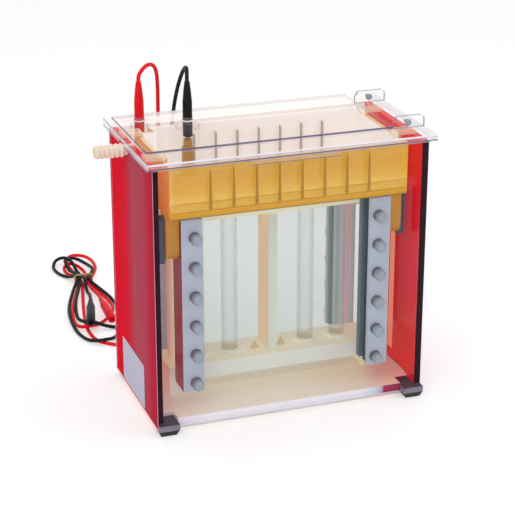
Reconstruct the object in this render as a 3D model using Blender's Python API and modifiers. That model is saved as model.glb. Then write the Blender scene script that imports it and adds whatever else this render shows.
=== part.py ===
"""Dual cooled vertical slab gel electrophoresis tank, as separate parts.

The tank is a clear and red box on rubber feet. A heat exchanger drops in between two glass
sandwiches, which hang from an amber upper buffer chamber. A clear safety lid carries the leads.
Units are metres, +Z is up, -Y is the front, and the origin is on the floor, under the middle of
the box that holds everything but the loose leads.
"""
import math

import bmesh
import bpy
from mathutils import Matrix, Vector

MM = 0.001
GAP = 0.3 * MM                   # running gap between touching pieces

# Tank
TANK_W = 246 * MM
TANK_D = 137 * MM
FOOT_H = 6 * MM
RIM_Z = 238 * MM                 # top edge of the panels
SIDE_T = 6 * MM                  # red side panels
FRONT_T = 5 * MM                 # clear front and back panels
BASE_T = 7 * MM
FOOT_SIZE = 13 * MM
FLOOR_Z = FOOT_H + BASE_T

# Glass sandwiches, mirrored about the tank's middle plane
PLATE_W = 180 * MM
PLATE_H = 160 * MM
PLATE_T = 3 * MM
PLATE_Z = 29 * MM
SANDWICH_Y = 37 * MM
SPACER_T = 1.5 * MM
SPACER_W = 12 * MM

# Side clamps, their pressure bars and thumbscrews
CLAMP_X_IN = 76 * MM
CLAMP_X_OUT = 94.7 * MM
CLAMP_WALL = 3.7 * MM
CLAMP_Y_IN = 26 * MM
CLAMP_Y_OUT = 51 * MM
CLAMP_FLANGE = 4.4 * MM
CLAMP_Z = 30 * MM
CLAMP_H = 157 * MM
BAR_T = 3.5 * MM
SCREW_COUNT = 6
SCREW_PITCH = 26.6 * MM
SCREW_Z = 38 * MM
SCREW_R = 2 * MM
SCREW_HEAD_R = 4.4 * MM
SCREW_HEAD_Y = (52.2 * MM, 58 * MM)

# Upper buffer chamber
CHAMBER_X = 106 * MM
CHAMBER_Y = 58 * MM
CHAMBER_Z = 190.5 * MM
CHAMBER_TOP = 236.5 * MM
CHAMBER_WALL = 4 * MM
CHAMBER_FLOOR = 5 * MM
SLOT_HALF = 1.8 * MM
NOTCH_X = 91 * MM                # rear left corner, cut back for the lower electrode's post
NOTCH_Y = 46.5 * MM
LEG_X = 95.3 * MM
LEG_HALF = 9 * MM
LEG_Z = 150 * MM
HOOK_Y = 36 * MM
HOOK_HALF = 7 * MM
HOOK_REACH = 121 * MM
HOOK_T = 3 * MM

# Cams that lock the clamps to the chamber's legs
CAM_Y = 38.5 * MM
CAM_Z = 168 * MM
CAM_PIN_R = 4 * MM
CAM_HALF_LENGTH = 21.5 * MM
CAM_HALF_WIDTH = 5 * MM
CAM_T = 5 * MM

# Heat exchanger
MANIFOLD_X = 98 * MM
MANIFOLD_Y = 20 * MM
MANIFOLD_Z = (25.5 * MM, 40 * MM)
MANIFOLD_LEG = 12 * MM
HEADER_Z = (172 * MM, 186 * MM)
TUBE_X = (-67 * MM, -36 * MM, 36 * MM, 67 * MM)
TUBE_R = 7.5 * MM
TUBE_WALL = 1.2 * MM
SOCKET_DEPTH = 5 * MM
COLLAR_R = 11 * MM
COLLAR_H = 3 * MM
RISER_X = -89 * MM
RISER_R = 4.5 * MM
POST_HALF = (4 * MM, 14 * MM)
PIPE_R = 3.5 * MM
PIPE_X = 110.6 * MM
PIPE_Y = 11 * MM
PORT_Z = 233.5 * MM
PORT_R = 4.7 * MM
PORT_REACH = 28 * MM
BARB_R = 6.2 * MM
BARBS = 6

# Lid
LID_X = 127 * MM
LID_Y = 71.5 * MM
LID_Z = (242 * MM, 245 * MM)
RAISED_X = (-122 * MM, 96 * MM)
RAISED_Y = (-48 * MM, 62 * MM)
RAISED_Z = 248.5 * MM
SKIRT_T = 2.4 * MM
SKIRT_Z = 237.5 * MM
FRONT_SKIRT_Z = 240 * MM
GRIP_HALF = 40 * MM
GRIP_Z = 235.5 * MM
LUG_X = (97 * MM, 126 * MM)
LUG_TOP = 256 * MM
LUG_T = 3 * MM
LUG_Y = {"lid_lug_front": -45 * MM, "lid_lug_rear": 40 * MM}

# Leads: where each plug stands on the lid, and the electrode posts under them
RED_XY = (-99.5 * MM, 52.8 * MM)
BLACK_XY = (-60 * MM, 39 * MM)
BOOT_R = 4.2 * MM
BOOT_Z = (231 * MM, 262 * MM, 280 * MM)
PIN_R = 2 * MM
POST_TOP = 228 * MM
LEAD_R = 1.75 * MM
LEAD_STEP = 6 * MM
HANK_Z = (1.6 * MM, 9.6 * MM)

# The object's middle, seen from the tank's own middle: the inlet fitting sticks out on the left.
TANK_X = (PORT_REACH + TANK_W / 2 - LID_X) / 2

STEEL = (0.78, 0.78, 0.8)
COLOURS = {                       # base colour, roughness, metallic, alpha
    "clear": ((0.93, 0.95, 0.97), 0.05, 0.0, 0.25),
    "red_acrylic": ((0.78, 0.02, 0.04), 0.08, 0.0, 1.0),
    "cream_plastic": ((0.85, 0.77, 0.62), 0.4, 0.0, 1.0),
    "black_rubber": ((0.03, 0.03, 0.035), 0.7, 0.0, 1.0),
    "amber_plastic": ((0.83, 0.55, 0.12), 0.2, 0.0, 0.7),
    "grey_rubber": ((0.35, 0.36, 0.35), 0.6, 0.0, 1.0),
    "plate_glass": ((0.86, 0.94, 0.92), 0.02, 0.0, 0.2),
    "spacer_grey": ((0.4, 0.42, 0.45), 0.5, 0.0, 1.0),
    "clamp_plastic": ((0.6, 0.64, 0.72), 0.3, 0.0, 0.8),
    "screw_plastic": ((0.45, 0.48, 0.55), 0.4, 0.0, 1.0),
    "dark_plastic": ((0.07, 0.08, 0.1), 0.4, 0.0, 1.0),
    "platinum": (STEEL, 0.25, 1.0, 1.0),
    "red_vinyl": ((0.75, 0.02, 0.03), 0.4, 0.0, 1.0),
    "black_vinyl": ((0.02, 0.02, 0.025), 0.4, 0.0, 1.0),
    "tie_plastic": ((0.75, 0.62, 0.25), 0.4, 0.0, 1.0),
}


def start_scene():
    """Empties the scene and makes the collections and the empty that the tank hangs from."""
    for old in list(bpy.data.objects):
        bpy.data.objects.remove(old)
    scene = bpy.context.scene
    parts = bpy.data.collections.new("gel_electrophoresis_tank")
    cutters = bpy.data.collections.new("cutters")
    scene.collection.children.link(parts)
    scene.collection.children.link(cutters)
    origin = bpy.data.objects.new("tank_middle", None)
    origin.location = (TANK_X, 0, 0)
    parts.objects.link(origin)
    return parts, cutters, origin


PARTS, CUTTERS, TANK = start_scene()


def material(name):
    """The named Principled BSDF material, made once."""
    found = bpy.data.materials.get(name)
    if found:
        return found
    colour, roughness, metallic, alpha = COLOURS[name]
    made = bpy.data.materials.new(name)
    made.use_nodes = True
    shader = made.node_tree.nodes["Principled BSDF"]
    shader.inputs["Base Color"].default_value = (*colour, 1)
    shader.inputs["Roughness"].default_value = roughness
    shader.inputs["Metallic"].default_value = metallic
    shader.inputs["Alpha"].default_value = alpha
    return made


def place(name, data, slot=None, location=(0, 0, 0)):
    """Links mesh or curve data as a part, or as a hidden cutter where it has no material."""
    made = bpy.data.objects.new(name, data)
    made.parent = TANK
    made.location = location
    if slot:
        PARTS.objects.link(made)
        data.materials.append(material(slot))
    else:
        CUTTERS.objects.link(made)
        made.hide_render = True
        made.display_type = "WIRE"
    return made


def box(name, low, high, slot=None):
    """A box between two corners, with its origin at its middle."""
    low, high = Vector(low), Vector(high)
    shape = bmesh.new()
    bmesh.ops.create_cube(shape, size=1.0)
    bmesh.ops.scale(shape, vec=high - low, verts=shape.verts)
    mesh = bpy.data.meshes.new(name)
    shape.to_mesh(mesh)
    shape.free()
    return place(name, mesh, slot, (low + high) / 2)


def as_mesh(source, merge=0.01 * MM):
    """A curve or modified object as a closed mesh with its caps welded. The source is removed."""
    graph = bpy.context.evaluated_depsgraph_get()
    mesh = bpy.data.meshes.new_from_object(source.evaluated_get(graph))
    shape = bmesh.new()
    shape.from_mesh(mesh)
    bmesh.ops.remove_doubles(shape, verts=shape.verts, dist=merge)
    bmesh.ops.recalc_face_normals(shape, faces=shape.faces)
    shape.to_mesh(mesh)
    shape.free()
    bpy.data.objects.remove(source)
    return mesh


PLANES = {                       # from the outline's own axes (u, v, thickness) to X, Y, Z
    "XY": Matrix.Identity(3),
    "XZ": Matrix(((1, 0, 0), (0, 0, -1), (0, 1, 0))),
    "YZ": Matrix(((0, 0, 1), (1, 0, 0), (0, 1, 0))),
}


def outline(name, points, thickness, plane, location, slot=None):
    """A flat outline, filled and given a thickness, centred on the location across its plane."""
    curve = bpy.data.curves.new(name, "CURVE")
    curve.dimensions = "2D"
    curve.fill_mode = "BOTH"
    curve.extrude = thickness / 2
    spline = curve.splines.new("POLY")
    spline.points.add(len(points) - 1)
    for point, (u, v) in zip(spline.points, points):
        point.co = (u, v, 0, 1)
    spline.use_cyclic_u = True
    raw = bpy.data.objects.new(name + "_curve", curve)
    CUTTERS.objects.link(raw)
    mesh = as_mesh(raw)
    mesh.transform(PLANES[plane].to_4x4())
    mesh.name = name
    return place(name, mesh, slot, location)


def turned(name, profile, location, slot=None, axis="Z", steps=24, closed=False):
    """A profile of (radius, height) pairs, outer side top to bottom, turned about an axis."""
    mesh = bpy.data.meshes.new(name)
    edges = [(i, i + 1) for i in range(len(profile) - 1)]
    if closed:
        edges.append((len(profile) - 1, 0))
    mesh.from_pydata([(r, 0, z) for r, z in profile], edges, [])
    raw = bpy.data.objects.new(name + "_profile", mesh)
    CUTTERS.objects.link(raw)
    screw = raw.modifiers.new("Screw", "SCREW")
    screw.steps = steps
    screw.render_steps = steps
    screw.use_merge_vertices = True
    screw.merge_threshold = 0.01 * MM
    solid = as_mesh(raw)
    turn = {"Z": Matrix.Identity(4), "X": Matrix.Rotation(math.pi / 2, 4, "Y"),
            "-X": Matrix.Rotation(-math.pi / 2, 4, "Y"), "Y": Matrix.Rotation(-math.pi / 2, 4, "X"),
            "-Y": Matrix.Rotation(math.pi / 2, 4, "X")}
    solid.transform(turn[axis])
    solid.shade_smooth()
    solid.set_sharp_from_angle(angle=math.radians(40))
    return place(name, solid, slot, location)


def rod(name, radius, low, high, location, slot=None, axis="Z", steps=16):
    """A plain round bar along an axis."""
    profile = [(0, high), (radius, high), (radius, low), (0, low)]
    return turned(name, profile, location, slot, axis, steps)


def combine(body, *others, operation="DIFFERENCE"):
    """Cuts the other objects from the body, or joins them to it, with one Boolean each."""
    for other in others:
        step = body.modifiers.new(other.name, "BOOLEAN")
        step.operation = operation
        step.object = other
        step.solver = "EXACT"
    return body


def bevel(body, width, segments=2):
    """Rounds the edges of a part."""
    step = body.modifiers.new("Bevel", "BEVEL")
    step.width = width
    step.segments = segments
    step.limit_method = "ANGLE"
    step.angle_limit = math.radians(40)
    return body


def arc(centre, radius, start, end, steps):
    """Points on an arc, with angles in degrees."""
    turns = [math.radians(start + (end - start) * i / steps) for i in range(steps + 1)]
    return [(centre[0] + radius * math.cos(t), centre[1] + radius * math.sin(t)) for t in turns]


def smooth_route(points, step):
    """Evenly spaced points on a smooth curve through a route's own points."""
    ends = [2 * points[0] - points[1]] + points + [2 * points[-1] - points[-2]]
    fine = []
    for a, b, c, d in zip(ends, ends[1:], ends[2:], ends[3:]):
        for i in range(24):
            t = i / 24
            fine.append(0.5 * (2 * b + (c - a) * t + (2 * a - 5 * b + 4 * c - d) * t ** 2
                               + (3 * b - a - 3 * c + d) * t ** 3))
    fine.append(points[-1])
    lengths = [0.0]
    for a, b in zip(fine, fine[1:]):
        lengths.append(lengths[-1] + (b - a).length)
    count = max(2, round(lengths[-1] / step))
    even, at = [], 0
    for i in range(count + 1):
        want = lengths[-1] * i / count
        while at < len(fine) - 2 and lengths[at + 1] < want:
            at += 1
        share = (want - lengths[at]) / max(lengths[at + 1] - lengths[at], 1e-9)
        even.append(fine[at].lerp(fine[at + 1], min(share, 1.0)))
    return even


def wire(name, route, radius, slot, sides=2):
    """A round wire or pipe along a list of points, with filled ends."""
    curve = bpy.data.curves.new(name, "CURVE")
    curve.dimensions = "3D"
    curve.bevel_depth = radius
    curve.bevel_resolution = sides
    curve.use_fill_caps = True
    spline = curve.splines.new("POLY")
    spline.points.add(len(route) - 1)
    for point, co in zip(spline.points, route):
        point.co = (*co, 1)
    return place(name, curve, slot)


def elbow(corner, before, after, radius, steps=6):
    """Points round a right-angled bend in a pipe."""
    before, after = Vector(before), Vector(after)
    centre = corner - before * radius + after * radius
    turns = [math.pi / 2 * i / steps for i in range(steps + 1)]
    return [centre - after * radius * math.cos(t) + before * radius * math.sin(t) for t in turns]


# ---------------------------------------------------------------- tank

def side_panels():
    """Red left and right panels. The left one has an open slot for the inlet port."""
    half_d = TANK_D / 2 - FRONT_T - GAP
    for name, side in (("left_panel", -1), ("right_panel", 1)):
        inner, outer = sorted((side * (TANK_W / 2 - SIDE_T), side * TANK_W / 2))
        panel = box(name, (inner, -half_d, FOOT_H), (outer, half_d, RIM_Z), "red_acrylic")
        if side < 0:
            slot_r = PORT_R + GAP
            slot = [(PIPE_Y + slot_r, RIM_Z + 5 * MM), (PIPE_Y - slot_r, RIM_Z + 5 * MM)]
            slot += arc((PIPE_Y, PORT_Z), slot_r, 180, 360, 10)
            cut = outline("inlet_slot", slot, 3 * SIDE_T, "YZ", (-TANK_W / 2, 0, 0))
            combine(panel, cut)


def end_panels():
    """Clear front and back panels, which cover the side panels' edges."""
    for name, side in (("front_panel", -1), ("back_panel", 1)):
        inner, outer = sorted((side * (TANK_D / 2 - FRONT_T), side * TANK_D / 2))
        box(name, (-TANK_W / 2, inner, FOOT_H), (TANK_W / 2, outer, RIM_Z), "clear")


def base_plate():
    """Cream floor between the panels, with its corners cut out for the feet."""
    x, y = TANK_W / 2 - SIDE_T - GAP, TANK_D / 2 - FRONT_T - GAP
    fx, fy = x - FOOT_SIZE, y - FOOT_SIZE
    plan = [(-fx, -y), (fx, -y), (fx, -fy), (x, -fy), (x, fy), (fx, fy),
            (fx, y), (-fx, y), (-fx, fy), (-x, fy), (-x, -fy), (-fx, -fy)]
    outline("base_plate", plan, BASE_T, "XY", (0, 0, FOOT_H + BASE_T / 2), "cream_plastic")


def feet():
    """Rubber corner feet: a tapered block under the corner and a plug in the floor's corner."""
    for fore, y in (("front", -1), ("rear", 1)):
        for hand, x in (("left", -1), ("right", 1)):
            name = f"foot_{fore}_{hand}"
            low_x, high_x = TANK_W / 2 - FOOT_SIZE - 5 * MM, TANK_W / 2
            low_y, high_y = TANK_D / 2 - FOOT_SIZE - 4 * MM, TANK_D / 2
            middle = Vector((x * (low_x + high_x) / 2, y * (low_y + high_y) / 2, FOOT_H / 2))
            size = Vector((high_x - low_x, high_y - low_y, FOOT_H - GAP))
            foot = box(name, middle - size / 2, middle + size / 2, "black_rubber")
            for vertex in foot.data.vertices:
                if vertex.co.z < 0:
                    vertex.co.x *= 0.72
                    vertex.co.y *= 0.72
            gap = 2 * GAP
            plug_x = sorted((x * (TANK_W / 2 - SIDE_T - gap), x * (TANK_W / 2 - SIDE_T - FOOT_SIZE)))
            plug_y = sorted((y * (TANK_D / 2 - FRONT_T - gap), y * (TANK_D / 2 - FRONT_T - FOOT_SIZE)))
            plug = box(name + "_plug", (plug_x[0], plug_y[0], FOOT_H / 2),
                       (plug_x[1], plug_y[1], FLOOR_Z - 2 * MM))
            combine(foot, plug, operation="UNION")


def lower_electrode():
    """Post for the red lead, and the platinum wire that runs from it along the floor."""
    x, y = RED_XY
    profile = [(0, POST_TOP + 12 * MM), (PIN_R, POST_TOP + 11 * MM), (PIN_R, POST_TOP),
               (3.6 * MM, POST_TOP), (3.6 * MM, FLOOR_Z + GAP), (0, FLOOR_Z + GAP)]
    turned("lower_electrode_post", profile, (x, y, 0), "cream_plastic", steps=16)
    z = FLOOR_Z + 1.5 * MM
    route = [Vector((x + 4 * MM, y, z)), Vector((60 * MM, y, z)), Vector((100 * MM, y, z))]
    wire("lower_electrode_wire", route, 0.5 * MM, "platinum")


# ---------------------------------------------------------------- heat exchanger

def round_set(name, places, radius, low, high, steps=24):
    """Several separate upright cylinders as one cutter."""
    shape = bmesh.new()
    for x, y in places:
        turn = Matrix.Translation((x, y, (low + high) / 2))
        bmesh.ops.create_cone(shape, cap_ends=True, segments=steps, radius1=radius,
                              radius2=radius, depth=high - low, matrix=turn)
    mesh = bpy.data.meshes.new(name)
    shape.to_mesh(mesh)
    shape.free()
    return place(name, mesh)


def lower_manifold():
    """Cream slab on two end legs, with a raised collar and a socket for each glass tube."""
    low, high = MANIFOLD_Z
    leg = MANIFOLD_X - MANIFOLD_LEG
    foot = FLOOR_Z + GAP
    side = [(-MANIFOLD_X, foot), (-leg, foot), (-leg, low), (leg, low), (leg, foot),
            (MANIFOLD_X, foot), (MANIFOLD_X, high), (-MANIFOLD_X, high)]
    slab = outline("lower_manifold", side, 2 * MANIFOLD_Y, "XZ", (0, 0, 0), "cream_plastic")
    tubes = [(x, 0) for x in TUBE_X]
    collars = round_set("lower_collars", tubes, COLLAR_R, low + 4 * MM, high + COLLAR_H)
    sockets = round_set("lower_sockets", tubes, TUBE_R + GAP, high - SOCKET_DEPTH, high + 9 * MM)
    riser = round_set("lower_riser_socket", [(RISER_X, 0)], RISER_R + GAP,
                      high - SOCKET_DEPTH, high + 9 * MM)
    combine(slab, collars, operation="UNION")
    combine(slab, sockets, riser)


def upper_manifold():
    """Header above the tubes, hidden under the upper chamber."""
    low, high = HEADER_Z
    header = box("upper_manifold", (-MANIFOLD_X, -MANIFOLD_Y + 2 * MM, low),
                 (MANIFOLD_X, MANIFOLD_Y - 2 * MM, high), "cream_plastic")
    tubes = [(x, 0) for x in TUBE_X]
    sockets = round_set("upper_sockets", tubes, TUBE_R + GAP, low - 9 * MM, low + SOCKET_DEPTH)
    riser = round_set("upper_riser_socket", [(RISER_X, 0)], RISER_R + GAP, low - 9 * MM,
                      low + SOCKET_DEPTH)
    combine(header, sockets, riser)


def tubes_and_post():
    """Glass cooling tubes, the riser and the post that ties the two manifolds together."""
    low = MANIFOLD_Z[1] - SOCKET_DEPTH + GAP
    high = HEADER_Z[0] + SOCKET_DEPTH - GAP
    inner = TUBE_R - TUBE_WALL
    ring = [(TUBE_R, high), (TUBE_R, low), (inner, low), (inner, high)]
    for number, x in enumerate(TUBE_X, 1):
        turned(f"cooling_tube_{number}", ring, (x, 0, 0), "plate_glass", closed=True)
    rod("riser_tube", RISER_R, low, high, (RISER_X, 0, 0), "cream_plastic")
    half_x, half_y = POST_HALF
    box("center_post", (-half_x, -half_y, MANIFOLD_Z[1] + GAP),
        (half_x, half_y, HEADER_Z[0] - GAP), "cream_plastic")


def barbed_profile():
    """Hose barbs on a round spigot, as (radius, distance along it), tip first."""
    tip = PORT_REACH + SIDE_T / 2
    root = tip - PORT_REACH + 3 * MM
    pitch = (tip - root) / BARBS
    outer = [(BARB_R - 1.4 * MM, tip)]
    for barb in range(BARBS):
        start = tip - barb * pitch
        outer += [(BARB_R, start - pitch * 0.75), (BARB_R - 1.4 * MM, start - pitch * 0.8)]
    outer += [(PORT_R, root), (PORT_R, -SIDE_T / 2 - 1.2 * MM)]
    bore = 1.9 * MM
    return outer + [(bore, -SIDE_T / 2 - 1.2 * MM), (bore, tip)]


def inlet():
    """Barbed hose fitting, moulded on a pipe that rises from the header's left end."""
    level = sum(HEADER_Z) / 2
    bend = 4.4 * MM
    up, out = Vector((0, 0, 1)), Vector((-1, 0, 0))
    profile = barbed_profile()
    route = [Vector((-MANIFOLD_X - GAP, PIPE_Y, level))]
    route += elbow(Vector((-PIPE_X, PIPE_Y, level)), out, up, bend)
    route += elbow(Vector((-PIPE_X, PIPE_Y, PORT_Z)), up, out, bend)
    route += [Vector((-TANK_W / 2 + 3 * MM, PIPE_Y, PORT_Z))]
    port = turned("inlet_port", profile, (-TANK_W / 2 + SIDE_T / 2, PIPE_Y, PORT_Z),
                  "cream_plastic", axis="-X", closed=True)
    pipe = as_mesh(wire("inlet_pipe", route, PIPE_R, None, sides=3))
    combine(port, place("inlet_pipe", pipe), operation="UNION")


# ---------------------------------------------------------------- upper chamber

def chamber_plan(inset):
    """The chamber's outline seen from above, moved in by the inset."""
    x, y = CHAMBER_X - inset, CHAMBER_Y - inset
    nx, ny = NOTCH_X - inset, NOTCH_Y - inset
    return [(-x, -y), (x, -y), (x, y), (-nx, y), (-nx, ny), (-x, ny)]


def chamber_leg(name, x, y):
    """A leg below the chamber's end, round at the bottom, overlapping the floor above it."""
    shape = [(LEG_HALF, CHAMBER_Z + 2 * MM), (-LEG_HALF, CHAMBER_Z + 2 * MM)]
    shape += arc((0, LEG_Z + LEG_HALF), LEG_HALF, 180, 360, 8)
    width = CHAMBER_X - LEG_X
    return outline(name, shape, width, "YZ", (x * (LEG_X + width / 2), y * CAM_Y, 0))


def upper_chamber():
    """Amber trough with a slot over each sandwich, cam legs and rim hooks."""
    middle = (CHAMBER_Z + CHAMBER_TOP) / 2
    trough = outline("upper_chamber", chamber_plan(0), CHAMBER_TOP - CHAMBER_Z, "XY",
                     (0, 0, middle), "amber_plastic")
    depth = CHAMBER_TOP - CHAMBER_Z - CHAMBER_FLOOR
    hollow = outline("chamber_hollow", chamber_plan(CHAMBER_WALL), 2 * depth, "XY",
                     (0, 0, CHAMBER_TOP))
    combine(trough, hollow)
    for side in (-1, 1):
        slot = box(f"chamber_slot_{side}", (-88 * MM, side * SANDWICH_Y - SLOT_HALF, CHAMBER_Z - 5 * MM),
                   (88 * MM, side * SANDWICH_Y + SLOT_HALF, CHAMBER_Z + 9 * MM))
        combine(trough, slot)
    joined = []
    for y in (-1, 1):
        for x in (-1, 1):
            joined.append(chamber_leg(f"leg_{x}_{y}", x, y))
            near, far = sorted((x * (CHAMBER_X - 2 * MM), x * HOOK_REACH))
            joined.append(box(f"hook_{x}_{y}", (near, y * HOOK_Y - HOOK_HALF, RIM_Z + GAP),
                              (far, y * HOOK_Y + HOOK_HALF, RIM_Z + GAP + HOOK_T)))
            low, high = sorted((x * (CHAMBER_X - 3 * MM), x * (CHAMBER_X - 0.5 * MM)))
            joined.append(box(f"stem_{x}_{y}", (low, y * HOOK_Y - HOOK_HALF, CHAMBER_TOP - 9 * MM),
                              (high, y * HOOK_Y + HOOK_HALF, RIM_Z + HOOK_T)))
    combine(trough, *joined, operation="UNION")
    bores = [rod(f"cam_bore_{y}", CAM_PIN_R + GAP, -CHAMBER_X - 9 * MM, CHAMBER_X + 9 * MM,
                 (0, y * CAM_Y, CAM_Z), axis="X", steps=24) for y in (-1, 1)]
    combine(trough, *bores)


def gaskets():
    """A rubber frame on top of each sandwich, under the chamber's floor."""
    for name, side in (("gasket_front", -1), ("gasket_rear", 1)):
        y = side * SANDWICH_Y
        low = PLATE_Z + PLATE_H + GAP
        gasket = box(name, (-90 * MM, y - 6 * MM, low), (90 * MM, y + 6 * MM, CHAMBER_Z - GAP),
                     "grey_rubber")
        opening = box(name + "_opening", (-86 * MM, y - SLOT_HALF, low - 5 * MM),
                      (86 * MM, y + SLOT_HALF, CHAMBER_Z + 5 * MM))
        combine(gasket, opening)


def upper_electrode():
    """Post for the black lead, standing in the chamber, and its wire along the chamber's floor."""
    x, y = BLACK_XY
    floor = CHAMBER_Z + CHAMBER_FLOOR
    profile = [(0, POST_TOP + 12 * MM), (PIN_R, POST_TOP + 11 * MM), (PIN_R, POST_TOP),
               (4 * MM, POST_TOP), (4 * MM, POST_TOP - 6 * MM), (5.5 * MM, POST_TOP - 7 * MM),
               (5.5 * MM, floor + GAP), (0, floor + GAP)]
    turned("upper_electrode_post", profile, (x, y, 0), "amber_plastic", steps=16)
    z = floor + 1.2 * MM
    route = [Vector((x + 6 * MM, y - 2 * MM, z)), Vector((-40 * MM, 20 * MM, z)),
             Vector((-30 * MM, 0, z)), Vector((92 * MM, 0, z))]
    wire("upper_electrode_wire", route, 0.5 * MM, "platinum")


# ---------------------------------------------------------------- sandwiches and clamps

def sandwiches():
    """Two glass plates and two side spacers for each gel."""
    half_spacer = SPACER_T / 2
    for fore, side in (("front", -1), ("rear", 1)):
        y = side * SANDWICH_Y
        for place_name, out in (("outer", 1), ("inner", -1)):
            near = y + side * out * (half_spacer + GAP)
            far = near + side * out * PLATE_T
            low, high = sorted((near, far))
            box(f"glass_plate_{fore}_{place_name}", (-PLATE_W / 2, low, PLATE_Z),
                (PLATE_W / 2, high, PLATE_Z + PLATE_H), "plate_glass")
        for hand, x in (("left", -1), ("right", 1)):
            low, high = sorted((x * PLATE_W / 2, x * (PLATE_W / 2 - SPACER_W)))
            box(f"spacer_{fore}_{hand}", (low, y - half_spacer, PLATE_Z),
                (high, y + half_spacer, PLATE_Z + PLATE_H), "spacer_grey")


def screw_heights():
    """Heights of the thumbscrews on a clamp."""
    return [SCREW_Z + number * SCREW_PITCH for number in range(SCREW_COUNT)]


def clamp(fore, y, hand, x):
    """A channel round the sandwich's side edge, with clearance holes for screws and cam."""
    back = SANDWICH_Y - SPACER_T / 2 - PLATE_T - 2 * GAP
    front = CLAMP_Y_OUT - CLAMP_FLANGE
    wall = CLAMP_X_OUT - CLAMP_WALL
    plan = [(CLAMP_X_IN, CLAMP_Y_IN), (CLAMP_X_OUT, CLAMP_Y_IN), (CLAMP_X_OUT, CLAMP_Y_OUT),
            (CLAMP_X_IN, CLAMP_Y_OUT), (CLAMP_X_IN, front), (wall, front), (wall, back),
            (CLAMP_X_IN, back)]
    plan = [(x * u, y * v) for u, v in plan]
    name = f"clamp_{fore}_{hand}"
    body = outline(name, plan, CLAMP_H, "XY", (0, 0, CLAMP_Z + CLAMP_H / 2), "clamp_plastic")
    middle = (CLAMP_X_IN + CLAMP_X_OUT) / 2 - 2 * MM
    holes = [rod(f"{name}_hole_{number}", SCREW_R + 0.5 * MM, -6 * MM, 6 * MM,
                 (x * middle, y * (CLAMP_Y_OUT - CLAMP_FLANGE / 2), z), axis="Y", steps=12)
             for number, z in enumerate(screw_heights())]
    pin = rod(f"{name}_cam_hole", CAM_PIN_R + GAP, -9 * MM, 9 * MM,
              (x * CLAMP_X_OUT, y * CAM_Y, CAM_Z), axis="X", steps=24)
    combine(body, *holes, pin)


def pressure_bar(fore, y, hand, x):
    """The bar inside a clamp, with the six thumbscrews that push it against the glass."""
    inner = SANDWICH_Y + SPACER_T / 2 + PLATE_T + 2 * GAP
    middle = (CLAMP_X_IN + CLAMP_X_OUT) / 2 - 2 * MM
    half = (CLAMP_X_OUT - CLAMP_WALL - CLAMP_X_IN) / 2 - GAP
    centre = (CLAMP_X_OUT - CLAMP_WALL + CLAMP_X_IN) / 2
    low_x, high_x = sorted((x * (centre - half), x * (centre + half)))
    low_y, high_y = sorted((y * inner, y * (inner + BAR_T)))
    name = f"pressure_bar_{fore}_{hand}"
    bar = box(name, (low_x, low_y, CLAMP_Z + 1 * MM), (high_x, high_y, CLAMP_Z + CLAMP_H - 1 * MM),
              "screw_plastic")
    near, far = SCREW_HEAD_Y
    profile = [(0, far), (SCREW_HEAD_R - 0.6 * MM, far), (SCREW_HEAD_R, far - 0.8 * MM),
               (SCREW_HEAD_R, near), (SCREW_R, near), (SCREW_R, inner + BAR_T / 2),
               (0, inner + BAR_T / 2)]
    axis = "Y" if y > 0 else "-Y"
    screws = [turned(f"{name}_screw_{number}", profile, (x * middle, 0, z), axis=axis, steps=14)
              for number, z in enumerate(screw_heights())]
    combine(bar, *screws, operation="UNION")


def cam(fore, y, hand, x):
    """A wing on a pin. Its origin is on the pin's axis, where it turns in the leg."""
    name = f"cam_{fore}_{hand}"
    start = CHAMBER_X + GAP
    flat = CAM_HALF_LENGTH - CAM_HALF_WIDTH
    shape = arc((0, flat), CAM_HALF_WIDTH, 0, 180, 8) + arc((0, -flat), CAM_HALF_WIDTH, 180, 360, 8)
    centre = Vector((x * (start + CAM_T / 2), y * CAM_Y, CAM_Z))
    wing = outline(name, shape, CAM_T, "YZ", centre, "dark_plastic")
    low, high = sorted((x * (CLAMP_X_OUT - CLAMP_WALL + GAP) - centre.x, x * 1 * MM))
    pin = rod(name + "_pin", CAM_PIN_R, low, high, centre, axis="X", steps=24)
    combine(wing, pin, operation="UNION")


def corners(make):
    """Calls a maker for each of the four corners."""
    for fore, y in (("front", -1), ("rear", 1)):
        for hand, x in (("left", -1), ("right", 1)):
            make(fore, y, hand, x)


# ---------------------------------------------------------------- lid and leads

def lid():
    """Clear lid: a flange over the rim, a raised plate, skirts and a deeper finger grip."""
    low, high = LID_Z
    x, y = LID_X, LID_Y
    plate = box("lid", (-x, -y, SKIRT_Z), (x, y, high), "clear")
    gap_y = y - SKIRT_T
    hollow = box("lid_hollow", (SKIRT_T - x, -gap_y, SKIRT_Z - 9 * MM), (x - SKIRT_T, gap_y, low))
    trims = [box(f"front_trim_{side}", (low_x, -y - 5 * MM, SKIRT_Z - 5 * MM),
                 (high_x, -gap_y + 0.5 * MM, FRONT_SKIRT_Z))
             for side, low_x, high_x in (("left", -x - 5 * MM, -GRIP_HALF),
                                         ("right", GRIP_HALF, x - SKIRT_T))]
    notch = box("inlet_notch", (-x - 5 * MM, PIPE_Y - 7.5 * MM, SKIRT_Z - 5 * MM),
                (-x + SKIRT_T + 1 * MM, PIPE_Y + 7.5 * MM, PORT_Z + 7.5 * MM))
    combine(plate, hollow, *trims, notch)
    raised = box("lid_raised", (RAISED_X[0], RAISED_Y[0], low + 1 * MM),
                 (RAISED_X[1], RAISED_Y[1], RAISED_Z))
    grip = box("lid_grip", (-GRIP_HALF, -y, GRIP_Z), (GRIP_HALF, -gap_y, low + 1 * MM))
    combine(plate, raised, grip, operation="UNION")
    for name, (hole_x, hole_y) in (("red_hole", RED_XY), ("black_hole", BLACK_XY)):
        combine(plate, rod(name, BOOT_R + GAP, low - 9 * MM, RAISED_Z + 9 * MM,
                           (hole_x, hole_y, 0), steps=24))


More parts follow.
